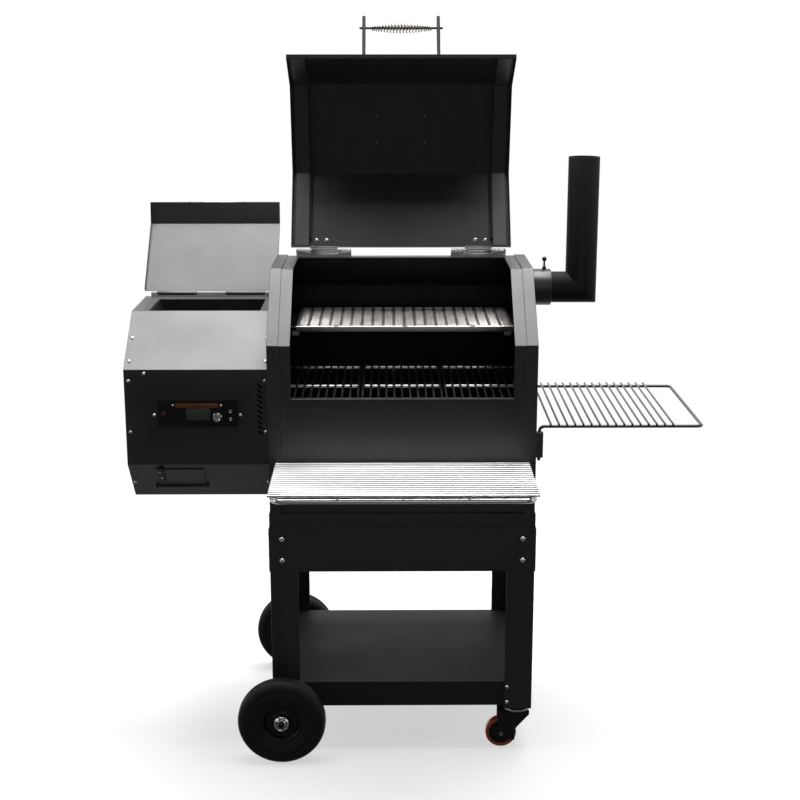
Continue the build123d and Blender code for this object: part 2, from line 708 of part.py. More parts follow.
# Clean-out door with its pins, and the turning latch held in it.
LATCH_X, LATCH_S = -685.0, 58.0
with BuildPart() as clean_out_door:
    with BuildSketch(Plane(origin=facet(sum(DOOR_X) / 2, 62.5, 0.4), x_dir=(1, 0, 0), z_dir=(0, FN[0], FN[1]))):
        RectangleRounded(DOOR_X[1] - DOOR_X[0], 80, 3)
        with Locations((LATCH_X - sum(DOOR_X) / 2, 62.5 - LATCH_S)):
            Circle(3 + FIT, mode=Mode.SUBTRACT)
    extrude(amount=2)
    with BuildSketch(Plane(origin=facet(DOOR_X[0] + 1, DOOR_PIN, 4.6), x_dir=(0, FD[0], FD[1]), z_dir=(1, 0, 0))):
        Circle(4)
        with Locations((-5, 2.2)):
            Rectangle(10, 2)
    extrude(amount=DOOR_X[1] - DOOR_X[0] - 2)
    with BuildSketch(Plane(origin=facet(DOOR_X[0] - 7.5, DOOR_PIN, 4.6), x_dir=(0, FD[0], FD[1]), z_dir=(1, 0, 0))):
        Circle(2)
    extrude(amount=DOOR_X[1] - DOOR_X[0] + 15)
clean_out_door.part.label = "clean_out_door"
export_step(clean_out_door.part, "parts/clean_out_door.step")

with BuildPart() as door_latch:
    with BuildSketch(Plane(origin=facet(LATCH_X, LATCH_S, -4), x_dir=(1, 0, 0), z_dir=(0, FN[0], FN[1]))):
        Circle(5.5)
    extrude(amount=4)
    with BuildSketch(Plane(origin=facet(LATCH_X, LATCH_S, -1), x_dir=(1, 0, 0), z_dir=(0, FN[0], FN[1]))):
        Circle(3)
    extrude(amount=5)
    with BuildSketch(Plane(origin=facet(LATCH_X, 52, 2.8), x_dir=(1, 0, 0), z_dir=(0, FN[0], FN[1]))):
        SlotOverall(78, 15, rotation=90)
    extrude(amount=3.5)
door_latch.part.label = "door_latch"
export_step(door_latch.part, "parts/door_latch.step")

# ---------------------------------------------------------------------------
# Pellet feed and air
with BuildPart(W) as auger_tube:
    with Locations(((-600 - 69) / 2, AUGER_Y, AUGER_Z)):
        Cylinder(24, 531, rotation=(0, 90, 0))
    with Locations(((-600 - 69) / 2, AUGER_Y, AUGER_Z)):
        Cylinder(21.5, 533, rotation=(0, 90, 0), mode=Mode.SUBTRACT)
    with Locations((-470, AUGER_Y, AUGER_Z + 20)):
        Box(88, 26, 20, mode=Mode.SUBTRACT)
auger_tube.part.label = "auger_tube"
export_step(auger_tube.part, "parts/auger_tube.step")

AUGER_LEN = 505.0
with BuildPart() as auger_screw:
    with BuildLine() as flight:
        Helix(pitch=42, height=AUGER_LEN - 25, radius=13, center=P(-590, AUGER_Y, AUGER_Z), direction=(1, 0, 0))
    with BuildSketch(Plane(origin=flight.line @ 0, x_dir=(flight.line @ 0) - P(-590, AUGER_Y, AUGER_Z), z_dir=flight.line % 0)):
        Rectangle(14, 2.5)
    sweep(path=flight.line, binormal=Edge.make_line(P(-590, AUGER_Y, AUGER_Z), P(-90, AUGER_Y, AUGER_Z)))
    with BuildSketch(YZ(-654)):
        with Locations((AUGER_Y, AUGER_Z)):
            Circle(7)
    extrude(amount=560)
auger_screw.part.label = "auger_screw"
export_step(auger_screw.part, "parts/auger_screw.step")

with BuildPart(W) as auger_motor:
    with Locations((-640, AUGER_Y, AUGER_Z)):
        Box(40, 72, 72)
    with Locations((-690, AUGER_Y, AUGER_Z)):
        Cylinder(28, 62, rotation=(0, 90, 0))
    with Locations((-640, AUGER_Y, AUGER_Z)):
        Cylinder(7 + FIT, 42, rotation=(0, 90, 0), mode=Mode.SUBTRACT)
    with Locations((-640, AUGER_Y, 759)):
        Box(36, 20, 12)
auger_motor.part.label = "auger_motor"
export_step(auger_motor.part, "parts/auger_motor.step")

with BuildPart(W) as fan_housing:
    with Locations((FAN_X, FAN_Y, 773)):
        Box(108, 108, 40)
    with Locations((FAN_X, FAN_Y, 776)):
        Cylinder(50, 40, mode=Mode.SUBTRACT)
    with Locations((FAN_X, FAN_Y, 754)):
        with PolarLocations(30, 6):
            Cylinder(9, 10, mode=Mode.SUBTRACT)
    with Locations((FAN_X, FAN_Y, 771)):
        Cylinder(3, 32)
fan_housing.part.label = "fan_housing"
export_step(fan_housing.part, "parts/fan_housing.step")

with BuildPart(W) as fan_impeller:
    with Locations((FAN_X, FAN_Y, 775)):
        Cylinder(15, 24)
    for k in range(7):
        with Locations(Location((FAN_X, FAN_Y, 775), (0, 0, k * 360 / 7))):
            with Locations(Location((30, 0, 0), (32, 0, 0))):
                Box(36, 2, 22)
    with Locations((FAN_X, FAN_Y, 775)):
        Cylinder(3 + FIT, 30, mode=Mode.SUBTRACT)
fan_impeller.part.label = "fan_impeller"
export_step(fan_impeller.part, "parts/fan_impeller.step")

# ---------------------------------------------------------------------------
# Smoke stack
with BuildPart() as stack_collar:
    with BuildSketch(YZ(HALF_W)):
        with Locations((STACK_Y, STACK_Z)):
            Circle(54)
            Circle(STACK_R + FIT, mode=Mode.SUBTRACT)
    extrude(amount=70)
    with BuildSketch(XY(STACK_Z + 40)):
        with Locations((426, STACK_Y)):
            Circle(3 + FIT)
    extrude(amount=20, mode=Mode.SUBTRACT)
stack_collar.part.label = "stack_collar"
export_step(stack_collar.part, "parts/stack_collar.step")

with BuildPart() as smoke_stack:
    with BuildLine() as flue:
        Polyline(P(378.5, STACK_Y, STACK_Z), P(STACK_X, STACK_Y, STACK_Z), P(STACK_X, STACK_Y, STACK_TOP))
    with BuildSketch(Plane(origin=flue.line @ 0, z_dir=(1, 0, 0))):
        Circle(STACK_R)
        Circle(STACK_R - 2, mode=Mode.SUBTRACT)
    sweep(path=flue.line, transition=Transition.RIGHT)
smoke_stack.part.label = "smoke_stack"
export_step(smoke_stack.part, "parts/smoke_stack.step")

with BuildPart(W) as stack_thumbscrew:
    with Locations((426, STACK_Y, (STACK_Z + STACK_R + 0.4 + STACK_Z + 80) / 2)):
        Cylinder(3, 80 - STACK_R - 0.4)
    with Locations((426, STACK_Y, STACK_Z + 58)):
        Cylinder(6, 7)
    with Locations((426, STACK_Y, STACK_Z + 84)):
        Sphere(7)
stack_thumbscrew.part.label = "stack_thumbscrew"
export_step(stack_thumbscrew.part, "parts/stack_thumbscrew.step")

# ---------------------------------------------------------------------------
# Shelves
FS_Z, FS_Y = 868.5, (-12.0, -297.0)
with BuildPart() as front_shelf:
    with BuildLine() as loop:
        FilletPolyline(
            P(-345, FS_Y[0], 806), P(-345, FS_Y[0], FS_Z), P(-345, FS_Y[1], FS_Z), P(345, FS_Y[1], FS_Z), P(345, FS_Y[0], FS_Z), P(345, FS_Y[0], 806),
            radius=(14, 26, 26, 14),
        )
    with BuildSketch(Plane(origin=loop.line @ 0, z_dir=(0, 0, 1))):
        Circle(7)
    sweep(path=loop.line)
    for x in (-332, -172, 0, 172, 332):
        with BuildSketch(XZ(-6)):
            with Locations((x, 878.4)):
                Circle(3.2)
        extrude(amount=296)
    for k in range(17):
        with BuildSketch(YZ(-356)):
            with Locations((-8 - 18.2 * k, 884.5)):
                Circle(3.5)
        extrude(amount=712)
front_shelf.part.label = "front_shelf"
export_step(front_shelf.part, "parts/front_shelf.step")

SS_Z, SS_Y, SS_X = 980.0, (38.0, 522.0), (386.5, 846.0)
with BuildPart() as side_shelf:
    with BuildLine() as frame:
        FilletPolyline(
            P(SS_X[0], SS_Y[0], 881), P(SS_X[0], SS_Y[0], SS_Z), P(SS_X[1], SS_Y[0], SS_Z), P(SS_X[1], SS_Y[1], SS_Z), P(SS_X[0], SS_Y[1], SS_Z), P(SS_X[0], SS_Y[1], 881),
            radius=(14, 14, 14, 14),
        )
    with BuildSketch(Plane(origin=frame.line @ 0, z_dir=(0, 0, 1))):
        Circle(4.5)
    sweep(path=frame.line)
    for k in range(16):
        with BuildSketch(XZ(536)):
            with Locations((418 + 23 * k, SS_Z + 7.1)):
                Circle(3)
        extrude(amount=504)
side_shelf.part.label = "side_shelf"
export_step(side_shelf.part, "parts/side_shelf.step")

# Sockets on the chamber that hold both shelves' down-turned ends.
with BuildPart(W) as shelf_brackets:
    for y in SS_Y:
        with Locations((HALF_W + 11, y, 927)):
            Box(22, 18, 74)
        with Locations((SS_X[0], y, 927)):
            Cylinder(4.5 + FIT, 90, mode=Mode.SUBTRACT)
    for x in (-345, 345):
        with Locations((x, -11.5, 826)):
            Box(26, 23, 52)
        with Locations((x, FS_Y[0], 832)):
            Cylinder(7 + FIT, 56, mode=Mode.SUBTRACT)
shelf_brackets.part.label = "shelf_brackets"
export_step(shelf_brackets.part, "parts/shelf_brackets.step")

# ---------------------------------------------------------------------------
# Cart
LT = 2.5


def angle_leg(side, front, z0):
    """Corner leg of folded sheet: side -1 left, +1 right."""
    y0 = 0 if front else DEPTH
    d = 1 if front else -1
    with Locations((side * (LEG_X - LEG_W / 2), y0 + d * LT / 2, (z0 + Z_FLOOR) / 2)):
        Box(LEG_W, LT, Z_FLOOR - z0)
    with Locations((side * (LEG_X - LT / 2), y0 + d * LEG_W / 2, (z0 + Z_FLOOR) / 2)):
        Box(LT, LEG_W, Z_FLOOR - z0)


with BuildPart(W) as legs_left:
    angle_leg(-1, True, 98)
    angle_leg(-1, False, 98)
    with Locations((WHEEL_X, DEPTH / 2, WHEEL_R)):
        Cylinder(8 + FIT, DEPTH + 40, rotation=(90, 0, 0), mode=Mode.SUBTRACT)
legs_left.part.label = "legs_left"
export_step(legs_left.part, "parts/legs_left.step")

with BuildPart(W) as legs_right:
    angle_leg(1, True, 132.5)
    angle_leg(1, False, 132.5)
legs_right.part.label = "legs_right"
export_step(legs_right.part, "parts/legs_right.step")

# Four apron panels outside the legs and four rails inside them, under the chamber.
AZ = sum(APRON_Z) / 2
AH = APRON_Z[1] - APRON_Z[0]
with BuildPart(W) as cart_aprons:
    for y in (-LT / 2, DEPTH + LT / 2):
        with Locations((0, y, AZ)):
            Box(2 * (LEG_X + LT), LT, AH)
    for x in (-LEG_X - LT / 2, LEG_X + LT / 2):
        with Locations((x, DEPTH / 2, AZ)):
            Box(LT, DEPTH - 0.4, AH)
    for y0, d in ((LT, 1), (DEPTH - LT, -1)):
        with Locations((0, y0 + d * LT / 2, (RAIL_Z + Z_FLOOR) / 2)):
            Box(2 * 372.5, LT, Z_FLOOR - RAIL_Z)
        with Locations((0, y0 + d * 18, Z_FLOOR - LT / 2)):
            Box(2 * 372.5, 36, LT)
    for x in (-374.25, 374.25):
        with Locations((x, DEPTH / 2, (RAIL_Z + Z_FLOOR) / 2)):
            Box(LT, DEPTH - 4 * LT - 1, Z_FLOOR - RAIL_Z)
cart_aprons.part.label = "cart_aprons"
export_step(cart_aprons.part, "parts/cart_aprons.step")

with BuildPart(W) as lower_shelf:
    with Locations((0, DEPTH / 2, (143 + SHELF_Z) / 2)):
        Box(2 * (LEG_X - LT), DEPTH - 2 * LT, SHELF_Z - 143)
    with Locations((0, DEPTH / 2, (143 + SHELF_Z) / 2 - LT)):
        Box(2 * (LEG_X - 2 * LT), DEPTH - 4 * LT, SHELF_Z - 143, mode=Mode.SUBTRACT)
lower_shelf.part.label = "lower_shelf"
export_step(lower_shelf.part, "parts/lower_shelf.step")

with BuildPart(W) as cart_bolts:
    for x in (-343, 343):
        for z in (595, 659):
            with Locations((x, -LT - 2.25, z), (x, DEPTH + LT + 2.25, z)):
                Cylinder(7, 4.5, rotation=(90, 0, 0))
    for x in (-LEG_X - LT - 2.25, LEG_X + LT + 2.25):
        for y in (35, DEPTH - 35):
            for z in (600, 664):
                with Locations((x, y, z)):
                    Cylinder(7, 4.5, rotation=(0, 90, 0))
    for x in (-306, 306):
        for z in (153, 201):
            with Locations((x, -1.75, z), (x, DEPTH + 1.75, z)):
                Cylinder(5.5, 3.5, rotation=(90, 0, 0))
cart_bolts.part.label = "cart_bolts"
export_step(cart_bolts.part, "parts/cart_bolts.step")

# Axle with its spacers, washers and nuts.
HUB_HALF = 28.0
with BuildPart(W) as wheel_axle:
    with Locations((WHEEL_X, (WHEEL_Y[0] + WHEEL_Y[1]) / 2, WHEEL_R)):
        Cylinder(8, WHEEL_Y[1] - WHEEL_Y[0] + 2 * 40, rotation=(90, 0, 0))
    for y, d, face in ((WHEEL_Y[0], -1, 0.0), (WHEEL_Y[1], 1, DEPTH)):
        inner = y - d * (HUB_HALF + 0.3)
        outer = y + d * (HUB_HALF + 0.3)
        with Locations((WHEEL_X, (inner + face) / 2, WHEEL_R)):
            Cylinder(14, abs(face - inner), rotation=(90, 0, 0))
        with Locations((WHEEL_X, outer + d * 1, WHEEL_R)):
            Cylinder(17, 2, rotation=(90, 0, 0))
        with BuildSketch(XZ(outer + d * 2 if d < 0 else outer + d * 10)):
            with Locations((WHEEL_X, WHEEL_R)):
                RegularPolygon(13, 6)
        extrude(amount=8)
wheel_axle.part.label = "wheel_axle"
export_step(wheel_axle.part, "parts/wheel_axle.step")

TYRE = [(62, -21), (66, -25), (80, -28.5), (102, -29), (116, -26), (124, -19), (127, -9), (127, 9), (124, 19), (116, 26), (102, 29), (80, 28.5), (66, 25), (62, 21)]


def wheel_plane(y):
    return Plane(origin=P(WHEEL_X, y, WHEEL_R), x_dir=(1, 0, 0), z_dir=(0, 0, 1))


def tyre(y):
    with BuildPart() as made:
        with BuildSketch(wheel_plane(y)):
            Polygon(*TYRE, align=None)
        revolve(axis=Axis(P(WHEEL_X, y, WHEEL_R), (0, 1, 0)))
        fillet(made.edges().filter_by(GeomType.CIRCLE).group_by(lambda e: round(e.radius, 1))[-1], 4)
    return made


def rim(y):
    with BuildPart() as made:
        with BuildSketch(wheel_plane(y)):
            Polygon((8 + FIT, -28), (20, -28), (23, -16), (46, -10), (52, -21), (62, -21), (62, 21), (52, 21), (46, -4), (23, 4), (20, 28), (8 + FIT, 28), align=None)
        revolve(axis=Axis(P(WHEEL_X, y, WHEEL_R), (0, 1, 0)))
    return made


tyre_front = tyre(WHEEL_Y[0])
tyre_front.part.label = "tyre_front"
export_step(tyre_front.part, "parts/tyre_front.step")
tyre_rear = tyre(WHEEL_Y[1])
tyre_rear.part.label = "tyre_rear"
export_step(tyre_rear.part, "parts/tyre_rear.step")
rim_front = rim(WHEEL_Y[0])
rim_front.part.label = "rim_front"
export_step(rim_front.part, "parts/rim_front.step")
rim_rear = rim(WHEEL_Y[1])
rim_rear.part.label = "rim_rear"
export_step(rim_rear.part, "parts/rim_rear.step")

# Casters: fixed plates, swivelling forks, wheels.
with BuildPart(W) as caster_plates:
    for y in CASTER_Y:
        y0, y1 = (LT, 65.0) if y < DEPTH / 2 else (DEPTH - 65.0, DEPTH - LT)
        with Locations(((303 + LEG_X - LT) / 2, (y0 + y1) / 2, 141)):
            Box(LEG_X - LT - 303, y1 - y0, 4)
        with Locations((CASTER_X, y, 134.5)):
            Cylinder(27, 9)
        with Locations((CASTER_X, y, 136)):
            Cylinder(6 + FIT, 16, mode=Mode.SUBTRACT)
caster_plates.part.label = "caster_plates"
export_step(caster_plates.part, "parts/caster_plates.step")

AXLE_X = CASTER_X - CASTER_TRAIL


def caster_fork(y):
    with BuildPart(W) as made:
        with Locations((CASTER_X, y, 125)):
            Cylinder(37, 9)
        with Locations((CASTER_X, y, 134)):
            Cylinder(6, 14)
        for d in (-1, 1):
            with BuildSketch(XZ(y + d * 18 + (3 if d > 0 else 0))):
                Polygon(
                    (AXLE_X - 11, 121), (AXLE_X - 11, 40), (AXLE_X - 5, 33), (AXLE_X + 8, 33), (AXLE_X + 20, 27), (AXLE_X + 40, 25),
                    (AXLE_X + 42, 62), (CASTER_X + 36, 107), (CASTER_X + 36, 121), align=None,
                )
            extrude(amount=3)
        with Locations((AXLE_X, y, CASTER_R)):
            Cylinder(4, 50, rotation=(90, 0, 0))
        with Locations((AXLE_X, y - 23, CASTER_R), (AXLE_X, y + 23, CASTER_R)):
            Cylinder(8, 4, rotation=(90, 0, 0))
    return made


caster_fork_front = caster_fork(CASTER_Y[0])
caster_fork_front.part.label = "caster_fork_front"
export_step(caster_fork_front.part, "parts/caster_fork_front.step")
caster_fork_rear = caster_fork(CASTER_Y[1])
caster_fork_rear.part.label = "caster_fork_rear"
export_step(caster_fork_rear.part, "parts/caster_fork_rear.step")


def caster_disc(y, profile):
    with BuildPart() as made:
        with BuildSketch(Plane(origin=P(AXLE_X, y, CASTER_R), x_dir=(1, 0, 0), z_dir=(0, 0, 1))):
            Polygon(*profile, align=None)
        revolve(axis=Axis(P(AXLE_X, y, CASTER_R), (0, 1, 0)))
    return made


# the tread is moulded on the hub
CASTER_DISC = [
    (4 + FIT, -16.5), (12, -16.5), (13, -8), (30, -6), (32, -12), (40, -15), (44, -13), (46, -8),
    (46, 8), (44, 13), (40, 15), (32, 12), (30, 6), (13, 8), (12, 16.5), (4 + FIT, 16.5),
]
caster_wheel_front = caster_disc(CASTER_Y[0], CASTER_DISC)
caster_wheel_front.part.label = "caster_wheel_front"
export_step(caster_wheel_front.part, "parts/caster_wheel_front.step")
caster_wheel_rear = caster_disc(CASTER_Y[1], CASTER_DISC)
caster_wheel_rear.part.label = "caster_wheel_rear"
export_step(caster_wheel_rear.part, "parts/caster_wheel_rear.step")
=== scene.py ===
import bpy
import bmesh
import json
from math import atan2, cos, degrees, pi, radians, sin, sqrt
from mathutils import Matrix, Vector


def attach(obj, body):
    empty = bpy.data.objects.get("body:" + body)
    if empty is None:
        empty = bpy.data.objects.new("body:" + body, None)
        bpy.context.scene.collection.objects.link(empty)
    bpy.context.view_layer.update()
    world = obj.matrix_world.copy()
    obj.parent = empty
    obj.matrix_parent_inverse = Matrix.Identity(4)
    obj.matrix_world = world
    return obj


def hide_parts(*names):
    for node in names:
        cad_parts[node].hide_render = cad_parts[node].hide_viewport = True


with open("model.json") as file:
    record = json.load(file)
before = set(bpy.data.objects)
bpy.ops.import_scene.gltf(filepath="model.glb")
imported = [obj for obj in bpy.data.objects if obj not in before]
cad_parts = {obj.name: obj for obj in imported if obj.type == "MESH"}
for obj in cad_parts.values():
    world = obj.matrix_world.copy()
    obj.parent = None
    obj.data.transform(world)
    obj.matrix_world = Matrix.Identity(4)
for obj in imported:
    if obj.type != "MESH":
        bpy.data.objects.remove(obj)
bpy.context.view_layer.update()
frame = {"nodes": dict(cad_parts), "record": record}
NODES = frame["nodes"]

# The numbers below are millimetres from the middle of the cabinet's front face
# at floor level; P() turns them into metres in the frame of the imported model.
CX, CY = 35.25, 203.9


def P(x, y, z):
    return Vector(((x - CX) / 1000, (y - CY) / 1000, z / 1000))


HINGE = (446.0, 1419.0)
LID_OPEN = 121.0
HOP_HINGE = (461.0, 1288.0)
HOP_OPEN = 133.0


def swing(y, z, hinge, angle):
    c, s = cos(radians(angle)), sin(radians(angle))
    u, v = y - hinge[0], z - hinge[1]
    return hinge[0] + u * c + v * s, hinge[1] - u * s + v * c


def lid_p(x, y, z):
    return P(x, *swing(y, z, HINGE, LID_OPEN))


def hop_p(x, y, z):
    return P(x, *swing(y, z, HOP_HINGE, HOP_OPEN))


FD = Vector((0, 0.6414, -0.7672))
FN = Vector((0, -0.7672, -0.6414))


def facet(x, s, n=0.0):
    return P(x, 30 + FD.y * s + FN.y * n, 873 + FD.z * s + FN.z * n)


# ---------------------------------------------------------------------------
# Materials
class Nodes:
    def __init__(self, name):
        self.mat = bpy.data.materials.new(name)
        self.mat.use_nodes = True
        self.t = self.mat.node_tree
        self.b = self.t.nodes["Principled BSDF"]
        self.co = self.t.nodes.new("ShaderNodeTexCoord").outputs["Object"]

    def link(self, a, b):
        self.t.links.new(a, b)

    def mapping(self, scale, rotation=(0, 0, 0)):
        m = self.t.nodes.new("ShaderNodeMapping")
        m.inputs["Scale"].default_value = scale
        m.inputs["Rotation"].default_value = rotation
        self.link(self.co, m.inputs["Vector"])
        return m.outputs["Vector"]

    def noise(self, scale, detail=3.0, rough=0.55, vector=None, distortion=0.0):
        n = self.t.nodes.new("ShaderNodeTexNoise")
        n.inputs["Scale"].default_value = scale
        n.inputs["Detail"].default_value = detail
        n.inputs["Roughness"].default_value = rough
        n.inputs["Distortion"].default_value = distortion
        self.link(vector or self.co, n.inputs["Vector"])
        return n.outputs["Fac"]

    def voronoi(self, scale, vector=None):
        n = self.t.nodes.new("ShaderNodeTexVoronoi")
        n.inputs["Scale"].default_value = scale
        self.link(vector or self.co, n.inputs["Vector"])
        return n.outputs["Distance"]

    def ramp(self, fac, stops):
        r = self.t.nodes.new("ShaderNodeValToRGB")
        e = r.color_ramp.elements
        while len(e) < len(stops):
            e.new(0.5)
        for i, (p, c) in enumerate(stops):
            e[i].position = p
            e[i].color = (*c, 1) if isinstance(c, tuple) else (c, c, c, 1)
        self.link(fac, r.inputs["Fac"])
        return r.outputs["Color"]

    def mix(self, fac, a, b):
        m = self.t.nodes.new("ShaderNodeMix")
        m.data_type = "RGBA"
        self.link(fac, m.inputs[0])
        for v, i in ((a, 6), (b, 7)):
            if isinstance(v, tuple):
                m.inputs[i].default_value = (*v, 1)
            else:
                self.link(v, m.inputs[i])
        return m.outputs[2]

    def wave(self, scale, vector, distortion=0.0, profile="SIN", direction="X"):
        w = self.t.nodes.new("ShaderNodeTexWave")
        w.wave_profile = profile
        w.bands_direction = direction
        w.inputs["Scale"].default_value = scale
        w.inputs["Distortion"].default_value = distortion
        self.link(vector, w.inputs["Vector"])
        return w.outputs["Fac"]

    def edge(self, lo=0.51, hi=0.6):
        g = self.t.nodes.new("ShaderNodeNewGeometry")
        return self.ramp(g.outputs["Pointiness"], [(lo, 0.0), (hi, 1.0)])

    def bump(self, height, strength, distance, normal=None):
        b = self.t.nodes.new("ShaderNodeBump")
        b.inputs["Strength"].default_value = strength
        b.inputs["Distance"].default_value = distance
        self.link(height, b.inputs["Height"])
        if normal is not None:
            self.link(normal, b.inputs["Normal"])
        self.link(b.outputs["Normal"], self.b.inputs["Normal"])
        return b.outputs["Normal"]

    def set(self, **k):
        names = {"metallic": "Metallic", "spec": "Specular IOR Level", "coat": "Coat Weight", "coat_rough": "Coat Roughness", "sheen": "Sheen Weight", "ior": "IOR", "rough": "Roughness", "trans": "Transmission Weight"}
        for key, v in k.items():
            self.b.inputs[names[key]].default_value = v


def powder(name, colour, rough=(0.33, 0.45), spec=0.4, peel=0.1, wear_and_edge_highlight=0.03):
    """Baked powder coat: fine orange peel, slow changes of gloss, paler edges that are partly wear and partly a
    painted edge highlight.
    """
    m = Nodes(name)
    tone = m.ramp(m.noise(9, 4), [(0.3, tuple(c * 0.8 for c in colour)), (0.72, tuple(c * 1.25 for c in colour))])
    speck = m.ramp(m.noise(1400, 2), [(0.60, 0.0), (0.74, 0.55)])
    tone = m.mix(speck, tone, tuple(c * 1.9 + 0.004 for c in colour))
    # paler convex edges: partly wear, partly a painted edge highlight
    tone = m.mix(m.edge(), tone, tuple(c + wear_and_edge_highlight for c in colour))
    m.link(tone, m.b.inputs["Base Color"])
    m.link(m.ramp(m.noise(5, 5), [(0.3, rough[0]), (0.75, rough[1])]), m.b.inputs["Roughness"])
    m.bump(m.noise(750, 2), peel, 0.0006)
    m.set(spec=spec)
    return m.mat


def steel(name, colour, rough=(0.2, 0.34), grain=(6, 900, 900), bump=0.05, stain=0.12):
    """Brushed or drawn steel: fine lines along the part and faint staining."""
    m = Nodes(name)
    lines = m.noise(1.0, 3, 0.6, m.mapping(grain))
    cloud = m.noise(14, 4)
    m.link(m.mix(m.ramp(cloud, [(0.35, 0.0), (0.8, 1.0)]), colour, tuple(c * (1 - stain) for c in colour)), m.b.inputs["Base Color"])
    r = m.mix(m.ramp(lines, [(0.3, 0.0), (0.7, 1.0)]), (rough[0],) * 3, (rough[1],) * 3)
    m.link(r, m.b.inputs["Roughness"])
    m.bump(lines, bump, 0.0003)
    m.set(metallic=1.0)
    return m.mat


def chrome(name, colour=(0.82, 0.82, 0.83), rough=(0.04, 0.12)):
    m = Nodes(name)
    m.link(m.ramp(m.noise(60, 4), [(0.35, rough[0]), (0.8, rough[1])]), m.b.inputs["Roughness"])
    m.link(m.ramp(m.noise(25, 2), [(0.3, tuple(c * 0.94 for c in colour)), (0.7, colour)]), m.b.inputs["Base Color"])
    m.bump(m.noise(300, 2), 0.02, 0.0003)
    m.set(metallic=1.0)
    return m.mat


def plastic(name, colour, rough=(0.35, 0.5), scale=900, bump=0.08, spec=0.5, coat=0.0):
    m = Nodes(name)
    m.link(m.ramp(m.noise(20, 3), [(0.3, tuple(c * 0.88 for c in colour)), (0.72, tuple(c * 1.12 for c in colour))]), m.b.inputs["Base Color"])
    m.link(m.ramp(m.noise(40, 3), [(0.3, rough[0]), (0.75, rough[1])]), m.b.inputs["Roughness"])
    m.bump(m.voronoi(scale), bump, 0.0003)
    m.set(spec=spec, coat=coat)
    return m.mat


def rubber(name, colour, dusty=(0.05, 0.048, 0.045)):
    m = Nodes(name)
    dust = m.ramp(m.noise(30, 6, 0.7), [(0.5, 0.0), (0.85, 0.5)])
    m.link(m.mix(dust, colour, dusty), m.b.inputs["Base Color"])
    m.link(m.ramp(m.noise(18, 4), [(0.3, 0.55), (0.75, 0.75)]), m.b.inputs["Roughness"])
    m.bump(m.noise(900, 3), 0.25, 0.0005)
    m.set(spec=0.35)
    return m.mat


def sooty(name, colour, spec=0.25):
    """Inside of the cabinet: coat dulled by smoke, with runs of grease. Given a near-black colour it also paints the
    shade inside the cabinet and hopper.
    """
    m = Nodes(name)
    runs = m.noise(1.0, 5, 0.6, m.mapping((35, 35, 4)))
    m.link(m.mix(m.ramp(runs, [(0.4, 0.0), (0.75, 1.0)]), colour, tuple(c * 1.7 + 0.002 for c in colour)), m.b.inputs["Base Color"])
    m.link(m.ramp(m.noise(8, 5), [(0.3, 0.42), (0.75, 0.6)]), m.b.inputs["Roughness"])
    m.bump(m.noise(500, 3), 0.12, 0.0006)
    m.set(spec=spec)
    return m.mat


def rope_mat(name):
    m = Nodes(name)
    v = m.mapping((1, 1, 1))
    weave = m.voronoi(420, v)
    m.link(m.ramp(weave, [(0.0, (0.006, 0.006, 0.006)), (0.6, (0.03, 0.03, 0.03))]), m.b.inputs["Base Color"])
    m.link(m.ramp(m.noise(200, 2), [(0.3, 0.8), (0.7, 0.95)]), m.b.inputs["Roughness"])
    m.bump(weave, 0.8, 0.001)
    m.set(spec=0.2)
    return m.mat


def lcd_mat(name):
    m = Nodes(name)
    # columns of faint dots behind the window, no characters
    fine = m.wave(1.0, m.mapping((3000, 1, 1)))
    m.link(m.mix(m.ramp(fine, [(0.4, 0.0), (0.6, 0.35)]), (0.032, 0.046, 0.03), (0.02, 0.03, 0.02)), m.b.inputs["Base Color"])
    m.link(m.ramp(m.noise(120, 2), [(0.3, 0.12), (0.7, 0.2)]), m.b.inputs["Roughness"])
    m.bump(m.noise(60, 2), 0.01, 0.0004)
    m.set(spec=0.5, coat=0.6, coat_rough=0.05)
    return m.mat


